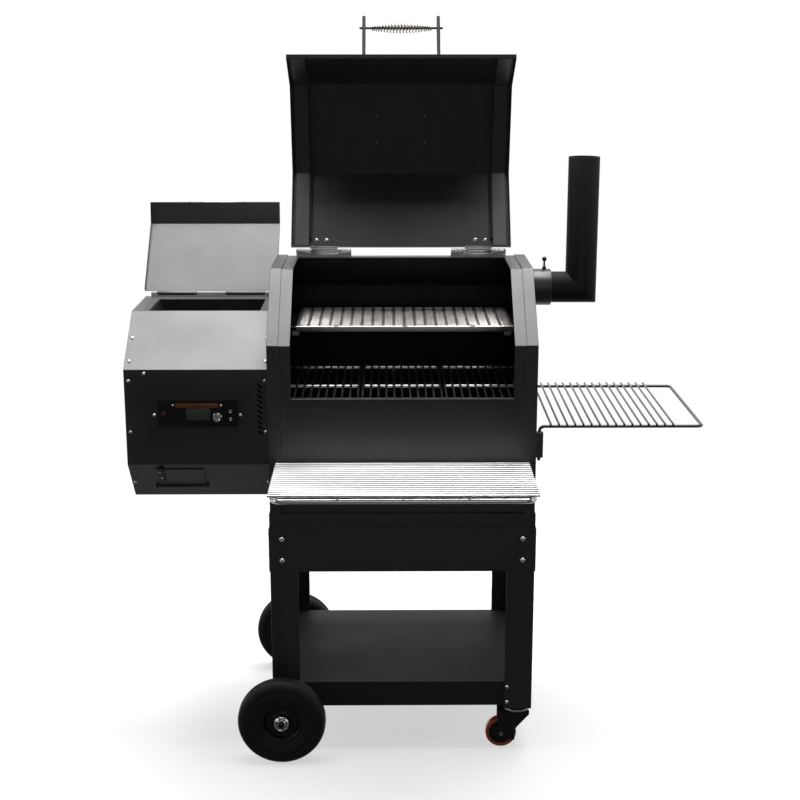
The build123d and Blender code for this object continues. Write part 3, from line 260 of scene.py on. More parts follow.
BLACK = (0.0062, 0.0062, 0.0066)
M = {
    "black": powder("black_powder_coat", BLACK, (0.34, 0.46), spec=0.74),
    "black_front": powder("black_powder_coat_front", (0.0075, 0.0075, 0.0078), (0.40, 0.5), spec=0.6),
    "black_cart": powder("black_powder_coat_cart", (0.005, 0.005, 0.0052), (0.38, 0.48), spec=0.5),
    "lid_in": sooty("lid_inside_coat", (0.0055, 0.0055, 0.0057), spec=0.5),
    # near-black inside coat: soot in the cabinet, and painted shade in the hollows of the cabinet and hopper
    "soot": sooty("smoked_inside_painted_shade", (0.0016, 0.0015, 0.0014), spec=0.16),
    "grey_rod": powder("dark_grey_rod_coat", (0.03, 0.03, 0.032), (0.3, 0.42), spec=0.7, peel=0.06),
    "rod_x": steel("stainless_rod_x", (0.66, 0.655, 0.65), (0.3, 0.38), (5, 700, 700), bump=0.02, stain=0.04),
    "rod_y": steel("stainless_rod_y", (0.5, 0.5, 0.49), (0.22, 0.36), (700, 5, 700)),
    "stainless": steel("brushed_stainless", (0.78, 0.77, 0.75), (0.2, 0.28), (8, 600, 600), bump=0.03, stain=0.05),
    "coil": steel("spring_stainless", (0.82, 0.81, 0.8), (0.12, 0.24), (300, 300, 300), bump=0.03),
    "grate": steel("cooked_grate_steel", (0.045, 0.043, 0.042), (0.34, 0.5), (400, 8, 400), stain=0.45),
    "rack": steel("nickel_plated_rack", (0.93, 0.87, 0.84), (0.30, 0.42), (30, 30, 30), stain=0.15),
    "silver": steel("bright_zinc", (0.93, 0.93, 0.92), (0.16, 0.26), (120, 120, 120), bump=0.03, stain=0.08),
    "black_shelf": powder("black_powder_coat_shelf", (0.0045, 0.0045, 0.0047), (0.5, 0.6), spec=0.12),
    "black_pipe": powder("black_powder_coat_pipe", (0.0066, 0.0066, 0.0069), (0.52, 0.64), spec=0.14),
    "hem": sooty("lid_hem_coat", (0.0016, 0.0016, 0.0016), spec=0.05),
    # light grey coat for the hopper hinge: painted light, so the shaded leaf in the gap matches the bright lid plate
    "hinge_zinc": powder("hopper_hinge_grey_painted_light", (0.24, 0.24, 0.245), (0.5, 0.6), spec=0.3, peel=0.03, wear_and_edge_highlight=0.02),
    # chrome given a near-black colour: a painted dark reflection down the middle of the handle posts
    "post": chrome("post_chrome_painted_dark_reflection", (0.009, 0.0088, 0.0086), (0.04, 0.08)),
    # darker copy of the spring steel for the lid's coil: painted shade
    "lid_coil": steel("spring_stainless_lid_painted_shade", (0.34, 0.32, 0.30), (0.12, 0.24), (300, 300, 300), bump=0.03),
    "plated": steel("zinc_plate", (0.62, 0.62, 0.6), (0.3, 0.45), (90, 90, 90), stain=0.2),
    "galv": steel("galvanised_sheet", (0.5, 0.5, 0.49), (0.35, 0.5), (60, 60, 60), stain=0.25),
    "chrome": chrome("bright_chrome", rough=(0.02, 0.06)),
    "knob": steel("turned_aluminium", (0.8, 0.8, 0.8), (0.18, 0.3), (200, 900, 200)),
    "tyre": rubber("tyre_rubber", (0.008, 0.008, 0.008), (0.02, 0.02, 0.019)),
    "rim": plastic("rim_black_enamel", (0.006, 0.006, 0.006), (0.25, 0.4), 500, 0.05, 0.4),
    "red": plastic("caster_polyurethane", (0.42, 0.055, 0.022), (0.22, 0.35), 300, 0.04, 0.5, coat=0.2),
    "hub": plastic("caster_hub_black", (0.01, 0.01, 0.01), (0.35, 0.5), 600, 0.06, 0.35),
    "plast": plastic("moulded_black", (0.012, 0.012, 0.012), (0.4, 0.55), 900, 0.15, 0.4),
    "overlay": plastic("panel_overlay_black", (0.0045, 0.0045, 0.005), (0.28, 0.36), 1500, 0.05, 0.35),
    "orange": plastic("accent_strip_orange", (0.13, 0.035, 0.008), (0.35, 0.45), 1500, 0.05, 0.4),
    "button": plastic("button_red", (0.05, 0.008, 0.008), (0.25, 0.35), 1500, 0.03, 0.5, coat=0.3),
    "rope": rope_mat("glass_fibre_rope"),
    "lcd": lcd_mat("lcd_window"),
    "dark_screw": steel("blackened_screw", (0.16, 0.16, 0.16), (0.25, 0.4), (200, 200, 200)),
}


# ---------------------------------------------------------------------------
# Mesh helpers
def finish_mesh(bm, name, mat, body, replaces=(), sharp=32.0, weld=1e-6, keep=False):
    bmesh.ops.remove_doubles(bm, verts=bm.verts, dist=weld)
    bmesh.ops.recalc_face_normals(bm, faces=bm.faces)
    if not keep:
        for f in bm.faces:
            f.smooth = True
    limit = radians(sharp)
    for e in bm.edges:
        if len(e.link_faces) == 2 and e.calc_face_angle(0.0) > limit:
            e.smooth = False
    me = bpy.data.meshes.new(name)
    bm.to_mesh(me)
    bm.free()
    o = bpy.data.objects.new(name, me)
    bpy.context.scene.collection.objects.link(o)
    mats = mat if isinstance(mat, (list, tuple)) else [mat]
    for one in mats:
        me.materials.append(M[one] if isinstance(one, str) else one)
    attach(o, body)
    if replaces:
        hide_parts(*replaces)
    return o


BODY_OF = {n: b for b, ns in frame["record"]["behaviour"]["bodies"].items() for n in ns}


def cad_bm(node, flat=0.4):
    bm = bmesh.new()
    bm.from_mesh(NODES[node].data)
    bmesh.ops.remove_doubles(bm, verts=bm.verts, dist=2e-6)
    bmesh.ops.dissolve_limit(bm, angle_limit=radians(flat), verts=bm.verts, edges=bm.edges, delimit={"NORMAL"})
    return bm


def remake(node, mat, bevel=0.0006, segments=2, name=None, angle=32.0, pick=None):
    """The node's own surface with its edges eased, as a piece that stands for it."""
    bm = cad_bm(node)
    edges = [e for e in bm.edges if len(e.link_faces) == 2 and e.calc_face_angle(0.0) > radians(angle)]
    for f in bm.faces:
        f.smooth = any(len(e.link_faces) == 2 and radians(0.6) < e.calc_face_angle(0.0) <= radians(angle) for e in f.edges)
    if bevel and edges:
        eased = bmesh.ops.bevel(bm, geom=edges, offset=bevel, offset_type="OFFSET", segments=segments, profile=0.5, affect="EDGES", clamp_overlap=False, harden_normals=False)
        for f in eased["faces"]:
            f.smooth = True
    if pick:
        bm.normal_update()
        bm.faces.ensure_lookup_table()
        for f in bm.faces:
            f.material_index = pick(f)
    return finish_mesh(bm, name or node + "_skin", mat, BODY_OF[node], (node,), keep=True)


def frame_of(d):
    d = d.normalized()
    a = Vector((0, 0, 1)) if abs(d.z) < 0.9 else Vector((0, 1, 0))
    u = d.cross(a).normalized()
    return u, d.cross(u).normalized()


def tube(bm, points, radius, sides=12, caps=True, closed=False):
    """Round bar along a line of points, turned as little as possible from one ring to the next."""
    pts = [Vector(p) for p in points]
    n = len(pts)
    rad = radius if hasattr(radius, "__len__") else [radius] * n
    tangents = []
    for i in range(n):
        a = pts[(i - 1) % n] if closed or i > 0 else pts[i]
        b = pts[(i + 1) % n] if closed or i < n - 1 else pts[i]
        tangents.append((b - a).normalized())
    u, v = frame_of(tangents[0])
    rings = []
    for i in range(n):
        if i:
            q = tangents[i - 1].rotation_difference(tangents[i])
            u, v = q @ u, q @ v
        rings.append([bm.verts.new(pts[i] + (u * cos(2 * pi * k / sides) + v * sin(2 * pi * k / sides)) * rad[i]) for k in range(sides)])
    for a, b in zip(rings, rings[1:] + (rings[:1] if closed else [])):
        for k in range(sides):
            bm.faces.new((a[k], a[(k + 1) % sides], b[(k + 1) % sides], b[k]))
    if caps and not closed:
        bm.faces.new(rings[0][::-1])
        bm.faces.new(rings[-1])


def rod(bm, a, b, radius, sides=12, ease=0.25):
    """Straight bar with eased ends."""
    a, b = Vector(a), Vector(b)
    d = (b - a).normalized() * radius * ease
    tube(bm, [a, a + d * 0.35, a + d, b - d, b - d * 0.35, b], [radius * 0.72, radius * 0.92, radius, radius, radius * 0.92, radius * 0.72], sides)


def lathe(bm, profile, origin, axis, sides=28, phase=0.0):
    """Turned part: profile is (radius, height along axis) pairs."""
    origin, axis = Vector(origin), Vector(axis).normalized()
    u, v = frame_of(axis)
    rings = []
    for r, h in profile:
        c = origin + axis * h
        if r < 1e-7:
            rings.append([bm.verts.new(c)])
        else:
            rings.append([bm.verts.new(c + (u * cos(2 * pi * k / sides + phase) + v * sin(2 * pi * k / sides + phase)) * r) for k in range(sides)])
    for a, b in zip(rings, rings[1:]):
        for k in range(sides):
            j = (k + 1) % sides
            if len(a) == 1 and len(b) == 1:
                continue
            if len(a) == 1:
                bm.faces.new((a[0], b[j], b[k]))
            elif len(b) == 1:
                bm.faces.new((a[k], a[j], b[0]))
            else:
                bm.faces.new((a[k], a[j], b[j], b[k]))


def prism(bm, outline, depth):
    """Flat outline (list of points) pushed along depth."""
    a = [bm.verts.new(p) for p in outline]
    b = [bm.verts.new(Vector(p) + Vector(depth)) for p in outline]
    bm.faces.new(a[::-1])
    bm.faces.new(b)
    for k in range(len(a)):
        j = (k + 1) % len(a)
        bm.faces.new((a[k], a[j], b[j], b[k]))


def eased_block(bm, lo, hi, ease):
    """Block between two corners with eased edges."""
    part = bmesh.new()
    c = [(x, y, z) for x in (lo[0], hi[0]) for y in (lo[1], hi[1]) for z in (lo[2], hi[2])]
    vs = [part.verts.new(p) for p in c]
    for f in ((0, 1, 3, 2), (4, 6, 7, 5), (0, 4, 5, 1), (2, 3, 7, 6), (0, 2, 6, 4), (1, 5, 7, 3)):
        part.faces.new([vs[i] for i in f])
    bmesh.ops.bevel(part, geom=part.edges[:], offset=ease, segments=2, profile=0.5, affect="EDGES")
    me = bpy.data.meshes.new("tmp")
    part.to_mesh(me)
    part.free()
    bm.from_mesh(me)
    bpy.data.meshes.remove(me)


def bolt_head(bm, at, axis, r, h, kind="dome"):
    """Bolt or screw head standing on a surface: a domed or pan head, or a hex head on a washer."""
    at, axis = Vector(at), Vector(axis).normalized()
    if kind == "dome":
        lathe(bm, [(r * 1.0, 0), (r * 1.0, h * 0.12), (r * 0.97, h * 0.2), (r * 0.86, h * 0.55), (r * 0.62, h * 0.85), (r * 0.36, h * 0.97), (r * 0.34, h * 0.97), (r * 0.3, h * 0.55), (0, h * 0.5)], at, axis, 24)
    elif kind == "pan":
        lathe(bm, [(r, 0), (r, h * 0.45), (r * 0.9, h * 0.75), (r * 0.68, h), (r * 0.3, h), (r * 0.27, h * 0.6), (0, h * 0.55)], at, axis, 20)
    else:
        lathe(bm, [(r * 1.3, 0), (r * 1.3, h * 0.2), (r * 1.0, h * 0.2)], at, axis, 24)
        lathe(bm, [(r * 1.0, h * 0.2), (r * 1.0, h * 0.92), (r * 0.92, h), (0, h)], at, axis, 6)


def ring_points(centre, u, v, r, n):
    return [centre + (u * cos(2 * pi * k / n) + v * sin(2 * pi * k / n)) * r for k in range(n)]


def bent(points, radii, steps=7):
    """Polyline with its corners rounded to arcs."""
    pts = [Vector(p) for p in points]
    out = [pts[0]]
    for i in range(1, len(pts) - 1):
        a, b, c = pts[i - 1], pts[i], pts[i + 1]
        d1, d2 = (a - b).normalized(), (c - b).normalized()
        half = d1.angle(d2) / 2
        r = radii[i - 1]
        t = r / max(1e-6, sin(half) / cos(half))
        t1, t2 = b + d1 * t, b + d2 * t
        centre = b + (d1 + d2).normalized() * (r / sin(half))
        e1, e2 = t1 - centre, t2 - centre
        ang = e1.angle(e2)
        for k in range(steps + 1):
            w = k / steps
            out.append(centre + (e1 * sin((1 - w) * ang) + e2 * sin(w * ang)) / sin(ang))
    out.append(pts[-1])
    return out


def mm(v):
    return v / 1000.0


# ---------------------------------------------------------------------------
# Cabinet
def inward(f):
    """1 for a face that looks into the cabinet."""
    c, n = f.calc_center_median(), f.normal
    to = P(0, 275, 1060) - c
    if abs(n.x) > 0.9:
        return 1 if n.x * to.x > 0 and abs(c.x * 1000 + CX) > 365 else 0
    return 1 if n.y * to.y + n.z * to.z > 0.02 else 0


# faces that look into the cabinet take the near-black inside coat, partly soot and partly painted shade
remake("chamber_side_left", ["black", "soot"], 0.0011, 3, pick=inward)
remake("chamber_side_right", ["black", "soot"], 0.0011, 3, pick=inward)
remake("chamber_wrapper", ["black", "soot"], 0.0011, 3, pick=inward)
def rail_end(f):
    """1 for the bare steel at the rails' front ends."""
    c, n = f.calc_center_median(), f.normal
    return 1 if n.y < -0.6 and abs(c.y * 1000 + CY - 230) < 4 else 0


remake("chamber_rails", ["soot", "galv"], 0.0006, pick=rail_end)
remake("fire_pot", "galv", 0.0006)
remake("igniter_rod", "plated", 0.0004)
remake("drip_tray", "galv", 0.0005)
remake("chamber_hinge_leaves", "stainless", 0.0007)
remake("lid_hinge_leaves", "stainless", 0.0007)

# slotted screw in the end of each hinge leaf, drawn as a pan head without its slot
bm = bmesh.new()
for x in (-262, 262):
    bolt_head(bm, P(x, 438.9, 1419), (0, -1, 0), 0.0036, 0.0015, "pan")
finish_mesh(bm, "hinge_face_screws", "dark_screw", "lid")
bm = bmesh.new()
for x0, x1 in ((-275, -190), (190, 275)):
    eased_block(bm, P(x0, 450.2, 1402), P(x1, 452.6, 1411.4), 0.0005)
finish_mesh(bm, "hinge_leaf_webs", "stainless", "cart")

# Upper rack: crowned ribs over slotted lattice, folded front rail, three tabs
bm = bmesh.new()
RX = 8
RY0, RY1 = 228, 524
for i in range(21):
    x = RX - 310 + 31 * i
    prof = [(x + 5.4 * cos(radians(a)), 1228.9 + 2.9 * sin(radians(a))) for a in range(0, 181, 18)]
    rings = []
    for y in (RY0 + 1, RY1 - 1):
        rings.append([bm.verts.new(P(px, y, pz)) for px, pz in prof])
    n = len(prof)
    for j in range(n):
        bm.faces.new((rings[0][j], rings[0][(j + 1) % n], rings[1][(j + 1) % n], rings[1][j]))
    bm.faces.new(rings[0][::-1])
    bm.faces.new(rings[1])
for k in range(17):
    y = 236 + 17.4 * k
    prof = [(y + 3.6 * cos(radians(a)), 1228.9 + 2.3 * sin(radians(a))) for a in range(0, 181, 30)]
    rings = []
    for x in (RX - 313, RX + 313):
        rings.append([bm.verts.new(P(x, py, pz)) for py, pz in prof])
    n = len(prof)
    for j in range(n):
        bm.faces.new((rings[0][j], rings[0][(j + 1) % n], rings[1][(j + 1) % n], rings[1][j]))
    bm.faces.new(rings[0][::-1])
    bm.faces.new(rings[1])
finish_mesh(bm, "upper_rack_lattice", "rack", "rack", ("upper_rack",))
bm = bmesh.new()
tube(bm, bent([P(RX - 315, 228.4, 1229.2), P(RX + 315, 228.4, 1229.2)], []), 0.0019, 10)
eased_block(bm, P(RX - 315, RY1 - 2.5, 1227), P(RX + 315, RY1, 1231.5), 0.0006)
for x in (-190, 9, 206):
    eased_block(bm, P(x - 7, 227, 1230.5), P(x + 7, 233, 1233.8), 0.0008)
finish_mesh(bm, "upper_rack_edges", "rack", "rack")
bm = bmesh.new()
eased_block(bm, P(RX - 315, 226.2, 1215), P(RX + 315, 228.4, 1228), 0.0007)
finish_mesh(bm, "upper_rack_front_fold", "galv", "rack")

# Grates: dark bars over bright cross rods
for name, cx, body in (("left", -237, "grate_l"), ("centre", 0, "grate_c"), ("right", 237, "grate_r")):
    bm = bmesh.new()
    for i in range(11):
        rod(bm, P(cx + (i - 5) * 22.4, 19.5, 1062.2), P(cx + (i - 5) * 22.4, 537.5, 1062.2), 0.0035, 12)
    finish_mesh(bm, "grate_bars_" + name, "grate", body, ("grate_" + name,))
    bm = bmesh.new()
    for y in (215, 462):
        rod(bm, P(cx - 115, y, 1055.5), P(cx + 115, y, 1055.5), 0.004, 14)
    finish_mesh(bm, "grate_cross_rods_" + name, "rod_x", body)

# ---------------------------------------------------------------------------
# Lid
SLOPE = atan2(185.0, 195.0)
SU = (cos(SLOPE), sin(SLOPE))
SN = (-sin(SLOPE), cos(SLOPE))


def lid_dir(v, w):
    return (lid_p(0, v, w) - lid_p(0, 0, 0)).normalized()


LID_MID = lid_p(0, 240, 1240)


def lid_inside(f):
    c, n = f.calc_center_median(), f.normal
    to = LID_MID - c
    if abs(n.x) > 0.9:
        return 1 if n.x * to.x > 0 else 0
    return 1 if n.y * to.y + n.z * to.z > 0.01 else 0


LID_TOP_Z = max(v.co.z for v in NODES["lid_shell"].data.vertices)


def lid_faces(f):
    """2 for the hem along the lid's free edge, which is left dull."""
    if f.calc_center_median().z > LID_TOP_Z - 0.016 and abs(f.normal.x) < 0.9:
        return 2
    return lid_inside(f)


remake("lid_shell", ["black", "lid_in", "hem"], 0.0007, 2, pick=lid_faces)
remake("lid_side_channels", "black", 0.0007, 2)
remake("lid_seal", "rope", 0)
remake("lid_badge_plate", "overlay", 0.0005)
# the handle posts take the near-black chrome that paints in their dark reflection
remake("lid_handle_frame", "post", 0.0006)

TT = pi / 4 - SLOPE / 2
K1 = (-12, 1220 + 12 * sin(TT) / cos(TT))
bm = bmesh.new()
for x in (-72, 72):
    for s in (100, 180):
        bolt_head(bm, lid_p(x, K1[0] + SU[0] * s - SN[0] * 2, K1[1] + SU[1] * s - SN[1] * 2), lid_dir(-SN[0], -SN[1]), 0.0034, 0.0016, "pan")
finish_mesh(bm, "lid_badge_rivets", "dark_screw", "lid", ("lid_bolts",))
bm = bmesh.new()
for x in (-254, -224, 224, 254):
    bolt_head(bm, lid_p(x, 412, 1415), lid_dir(0, -1), 0.0066, 0.0042, "dome")
finish_mesh(bm, "lid_hinge_bolts", "chrome", "lid")


def coil(name, centre, half, r_end, r_mid, wire, turns, body, node, mat="coil"):
    """Barrel-shaped open wire coil on its rod, closed up at both ends."""
    bm = bmesh.new()
    steps = turns * 22
    dens, total = [], 0.0
    for i in range(steps + 1):
        t = i / steps
        total += 0.42 + 0.58 * sin(pi * t) ** 0.7
        dens.append(total)
    pts = []
    for i in range(steps + 1):
        s = (dens[i] - dens[0]) / (dens[-1] - dens[0])
        x = -half + wire + (2 * half - 2 * wire) * s
        r = r_end + (r_mid - r_end) * sin(pi * s) ** 1.1 - wire
        a = 2 * pi * turns * i / steps
        pts.append(centre + Vector((mm(x), mm(r) * cos(a), mm(r) * sin(a))))
    tube(bm, pts, mm(wire), 8)
    return finish_mesh(bm, name, mat, body, (node,), sharp=60)


# the lid's coil uses the darker spring steel, which paints shade on it
coil("lid_grip_wire", lid_p(0, -12 - 96, 1078), 88.5, 8.0, 15.4, 1.75, 22, "lid", "lid_grip_coil", "lid_coil")

# ---------------------------------------------------------------------------
# Hopper
LIP_A = atan2(134.0, 175.0)
HOP_MID_X = -575.5


def hop_dir(v, w):
    return (hop_p(0, v, w) - hop_p(0, 0, 0)).normalized()


def hop_inside(f):
    c, n = f.calc_center_median(), f.normal
    x, y, z = c.x * 1000 + CX, c.y * 1000 + CY, c.z * 1000
    return 1 if (-774.5 < x < -376.5 and n.dot(P(-575, 250, 1010) - c) > 0 and not (abs(n.x) < 0.5 and y < 29.9 and abs(n.y) > 0.95)) else 0


# the hopper's inner faces and bin take the near-black inside coat, which is painted shade of the hollow
remake("hopper_shell", ["black", "soot"], 0.0008, 2, pick=hop_inside)
remake("hopper_bin", "soot", 0)
remake("hopper_lid", "black", 0.0008)
# the hopper hinge takes the light grey coat that paints light onto the shaded leaf
remake("hopper_hinge", "hinge_zinc", 0.0006)
remake("hopper_handle_frame", "chrome", 0.0006)
LU = (-cos(LIP_A), -sin(LIP_A))
LN = (-sin(LIP_A), cos(LIP_A))
HH = (203 + LU[0] * 60, 1286.5 + LU[1] * 60)
coil("hopper_grip_wire", hop_p(HOP_MID_X, HH[0] + LN[0] * 56, HH[1] + LN[1] * 56), 71.5, 8.0, 12.9, 1.6, 19, "hopper_lid_body", "hopper_grip_coil")

bm = bmesh.new()
for x, y, z in [(-763, 30, 1115), (-763, 30, 968), (-383.5, 30, 1115), (-383.5, 30, 968), (-719, 30, 1136), (-694.5, 30, 1017), (-453, 30, 1017)]:
    bolt_head(bm, P(x, y, z), (0, -1, 0), 0.0052, 0.0036, "dome")
for x in (-766, -384):
    bolt_head(bm, facet(x, 90, 0), FN, 0.0052, 0.0036, "dome")
for x, t in ((-763, 117), (-763, 31), (-382.5, 115), (-382.5, 30)):
    bolt_head(bm, P(x, 30 + 0.794 * t, 1147 + 0.608 * t), (0, -0.608, 0.794), 0.0052, 0.0036, "dome")
finish_mesh(bm, "hopper_screw_heads", "chrome", "cart", ("hopper_screws",))

# controls
remake("control_panel", "overlay", 0.0005)
bm = bmesh.new()
eased_block(bm, P(-634, 27.4, 1038.5), P(-514, 28.6, 1051), 0.0005)
finish_mesh(bm, "panel_accent_strip", "orange", "cart")
bm = bmesh.new()
for x in (-641.5, -507):
    bolt_head(bm, P(x, 28.6, 1045.4), (0, -1, 0), 0.0034, 0.0026, "dome")
finish_mesh(bm, "panel_screws", "chrome", "cart")
bm = bmesh.new()
eased_block(bm, P(-605, 27.9, 1003), P(-539, 60, 1037), 0.0006)
finish_mesh(bm, "display_window", "lcd", "cart", ("control_display",))
bm = bmesh.new()
for x0, x1, z0, z1 in ((-607, -537, 1036.8, 1039), (-607, -537, 1001, 1003.2), (-607, -604.8, 1001, 1039), (-539.2, -537, 1001, 1039)):
    eased_block(bm, P(x0, 27.3, z0), P(x1, 29, z1), 0.0003)
finish_mesh(bm, "display_frame", "plast", "cart")

bm = bmesh.new()
KN = P(-518, 44.5, 1012)
prof = [(0, 0), (3, 0), (3, 16.6), (11.5, 16.6), (11.8, 17.2), (11.8, 18.4), (10.9, 19.2)]
lathe(bm, [(mm(r), mm(h)) for r, h in prof], KN, (0, -1, 0), 60)
# grip ribs round the skirt
SK = []
for k in range(60):
    SK.append(mm(11.0 if k % 2 else 10.5))
a = [bm.verts.new(KN + Vector((SK[k] * cos(2 * pi * k / 60), -mm(19.0), SK[k] * sin(2 * pi * k / 60)))) for k in range(60)]
b = [bm.verts.new(KN + Vector((SK[k] * 0.96 * cos(2 * pi * k / 60), -mm(30.2), SK[k] * 0.96 * sin(2 * pi * k / 60)))) for k in range(60)]
for k in range(60):
    bm.faces.new((a[k], a[(k + 1) % 60], b[(k + 1) % 60], b[k]))
lathe(bm, [(mm(10.4), mm(30.0)), (mm(10.0), mm(31.2)), (mm(8.6), mm(31.5)), (mm(7.8), mm(30.9)), (0, mm(30.8))], KN, (0, -1, 0), 60)
bmesh.ops.contextual_create(bm, geom=[e for e in bm.edges if not e.link_faces])
finish_mesh(bm, "control_knob_turned", "knob", "knob", ("control_knob",), sharp=24)
bm = bmesh.new()
eased_block(bm, P(-518.8, 13.0, 1015), P(-517.2, 14.2, 1023), 0.0002)
finish_mesh(bm, "control_knob_pointer", "plast", "knob")
bm = bmesh.new()
lathe(bm, [(0, 0), (mm(7.3), 0), (mm(7.3), mm(11.8)), (mm(6.6), mm(12.8)), (mm(3), mm(12.5)), (0, mm(12.3))], P(-669, 38, 1020), (0, -1, 0), 36)
finish_mesh(bm, "power_button_cap", "button", "button", ("power_button",))
bm = bmesh.new()
for z in (1027, 1005):
    lathe(bm, [(mm(1.9), mm(0)), (mm(4.4), mm(0)), (mm(4.4), mm(16.6)), (mm(3.9), mm(17.4)), (mm(2.3), mm(17.5)), (mm(1.8), mm(16.9)), (mm(1.8), mm(1))], P(-481, 44.5, z), (0, -1, 0), 32)
finish_mesh(bm, "probe_jack_rings", "stainless", "cart", ("probe_jacks",))
bm = bmesh.new()
for z in (1027, 1005):
    lathe(bm, [(mm(5.6), 0), (mm(5.6), mm(1.2)), (mm(5.2), mm(1.6)), (mm(4.6), mm(1.6)), (mm(4.6), mm(0.2))], P(-481, 29.2, z), (0, -1, 0), 6)
finish_mesh(bm, "probe_jack_nuts", "dark_screw", "cart")

remake("clean_out_door", "black", 0.0006)
remake("door_latch", "plast", 0.0006)
bm = bmesh.new()
bolt_head(bm, facet(-685, 58, 6.3), FN, 0.0034, 0.0016, "pan")
bolt_head(bm, facet(-688, 30, 6.3), FN, 0.0026, 0.0012, "pan")
finish_mesh(bm, "door_latch_rivets", "chrome", "latch")

remake("auger_tube", "galv", 0.0004)
remake("auger_screw", "plated", 0)
remake("auger_motor", "plast", 0.0008)
remake("fan_housing", "plast", 0.0008)
remake("fan_impeller", "plast", 0.0003)

# ---------------------------------------------------------------------------
# Stack
remake("stack_collar", "black", 0.0012, 3)
remake("smoke_stack", "black_pipe", 0.0007, 2, angle=25)
bm = bmesh.new()
SC = P(426, 380, 1366.4)
lathe(bm, [(0, 0), (mm(2.0), 0), (mm(3.0), mm(1.2))] + [(mm(3.0 - 0.35 * (k % 2)), mm(1.5 + 0.6 * k)) for k in range(10)] + [(mm(3), mm(8)), (mm(6), mm(8.2)), (mm(6), mm(13.8)), (mm(5.2), mm(14.9)), (mm(2.9), mm(15)), (mm(2.9), mm(32))]
      + [(mm(7 * sin(radians(a))), mm(37.6 - 7 * cos(radians(a)))) for a in range(26, 181, 14)], SC, (0, 0, 1), 24)
finish_mesh(bm, "stack_thumbscrew_turned", "plast", "stack_screw", ("stack_thumbscrew",), sharp=40)

# ---------------------------------------------------------------------------
# Shelves
bm = bmesh.new()
tube(bm, bent([P(-345, -12, 806), P(-345, -12, 868.5), P(-345, -297, 868.5), P(345, -297, 868.5), P(345, -12, 868.5), P(345, -12, 806)], [mm(14), mm(26), mm(26), mm(14)], 9), 0.007, 20)
finish_mesh(bm, "front_shelf_frame", "stainless", "shelf_front", ("front_shelf",))
bm = bmesh.new()
for k in range(17):
    y = -8 - 18.2 * k
    rod(bm, P(-356, y, 884.5), P(356, y, 884.5), 0.0035, 12, 0.5)
finish_mesh(bm, "front_shelf_rods", "rod_x", "shelf_front")
bm = bmesh.new()
for x in (-332, -172, 0, 172, 332):
    rod(bm, P(x, -6, 878.4), P(x, -302, 878.4), 0.0032, 12)
finish_mesh(bm, "front_shelf_bearers", "rod_y", "shelf_front")

bm = bmesh.new()
tube(bm, bent([P(386.5, 38, 881), P(386.5, 38, 980), P(846, 38, 980), P(846, 522, 980), P(386.5, 522, 980), P(386.5, 522, 881)], [mm(14)] * 4, 8), 0.0045, 16)
finish_mesh(bm, "side_shelf_frame", "grey_rod", "shelf_side", ("side_shelf",))
bm = bmesh.new()
for k in range(16):
    rod(bm, P(418 + 23 * k, 32, 987.1), P(418 + 23 * k, 536, 987.1), 0.003, 12, 0.5)
finish_mesh(bm, "side_shelf_rods", "grey_rod", "shelf_side")
remake("shelf_brackets", "black", 0.0012, 2)

# ---------------------------------------------------------------------------
# Cart
remake("legs_left", "black_cart", 0.0009, 2)
remake("legs_right", "black_cart", 0.0009, 2)
remake("cart_aprons", "black_cart", 0.0009, 2)
remake("lower_shelf", "black_shelf", 0.0009, 2)
bm = bmesh.new()
for x in (-343, 343):
    for z in (595, 659):
        bolt_head(bm, P(x, -2.5, z), (0, -1, 0), 0.0078, 0.0045)
        bolt_head(bm, P(x, 552.5, z), (0, 1, 0), 0.0078, 0.0045)
for x in (-380.5, 380.5):
    for y in (35, 515):
        for z in (600, 664):
            bolt_head(bm, P(x, y, z), (1 if x > 0 else -1, 0, 0), 0.0078, 0.0045)
for x in (-306, 306):
    for z in (153, 201):
        bolt_head(bm, P(x, 0, z), (0, -1, 0), 0.0055, 0.0035)
        bolt_head(bm, P(x, 550, z), (0, 1, 0), 0.0055, 0.0035)
finish_mesh(bm, "cart_bolt_heads", "chrome", "cart", ("cart_bolts",))

# axle, washers and nuts
bm = bmesh.new()
WX, WZ = -349, 127
lathe(bm, [(0, 0), (mm(7), 0), (mm(8), mm(1))] + [(mm(8), mm(741)), (mm(7), mm(742)), (0, mm(742))], P(WX, -96, WZ), (0, 1, 0), 32)
for y, d in ((-27.7, 1), (577.7, -1)):
    lathe(bm, [(mm(8), 0), (mm(14), 0), (mm(14), mm(27.6)), (mm(8), mm(27.6))], P(WX, y, WZ), (0, d, 0), 32)
finish_mesh(bm, "wheel_axle_shaft", "plated", "cart", ("wheel_axle",))
bm = bmesh.new()
for y, d in ((-84.4, -1), (634.4, 1)):
    lathe(bm, [(mm(8.1), 0), (mm(12.9), 0), (mm(13.3), mm(1.2)), (mm(12.5), mm(2.2)), (mm(11.2), mm(2.6)), (mm(10.4), mm(2.0)), (mm(8.1), mm(2))], P(WX, y, WZ), (0, d, 0), 48)
finish_mesh(bm, "wheel_axle_nuts", "silver", "cart")
bm = bmesh.new()
for y, d in ((-84.4, -1), (634.4, 1)):
    lathe(bm, [(mm(8.4), mm(2.1)), (mm(8.9), mm(2.1)), (mm(8.8), mm(7.0)), (mm(8.4), mm(10.4)), (mm(7.2), mm(12.0)), (mm(4.0), mm(12.4)), (0, mm(12.5))], P(WX, y, WZ), (0, d, 0), 48)
finish_mesh(bm, "wheel_axle_end_caps", "hub", "cart")

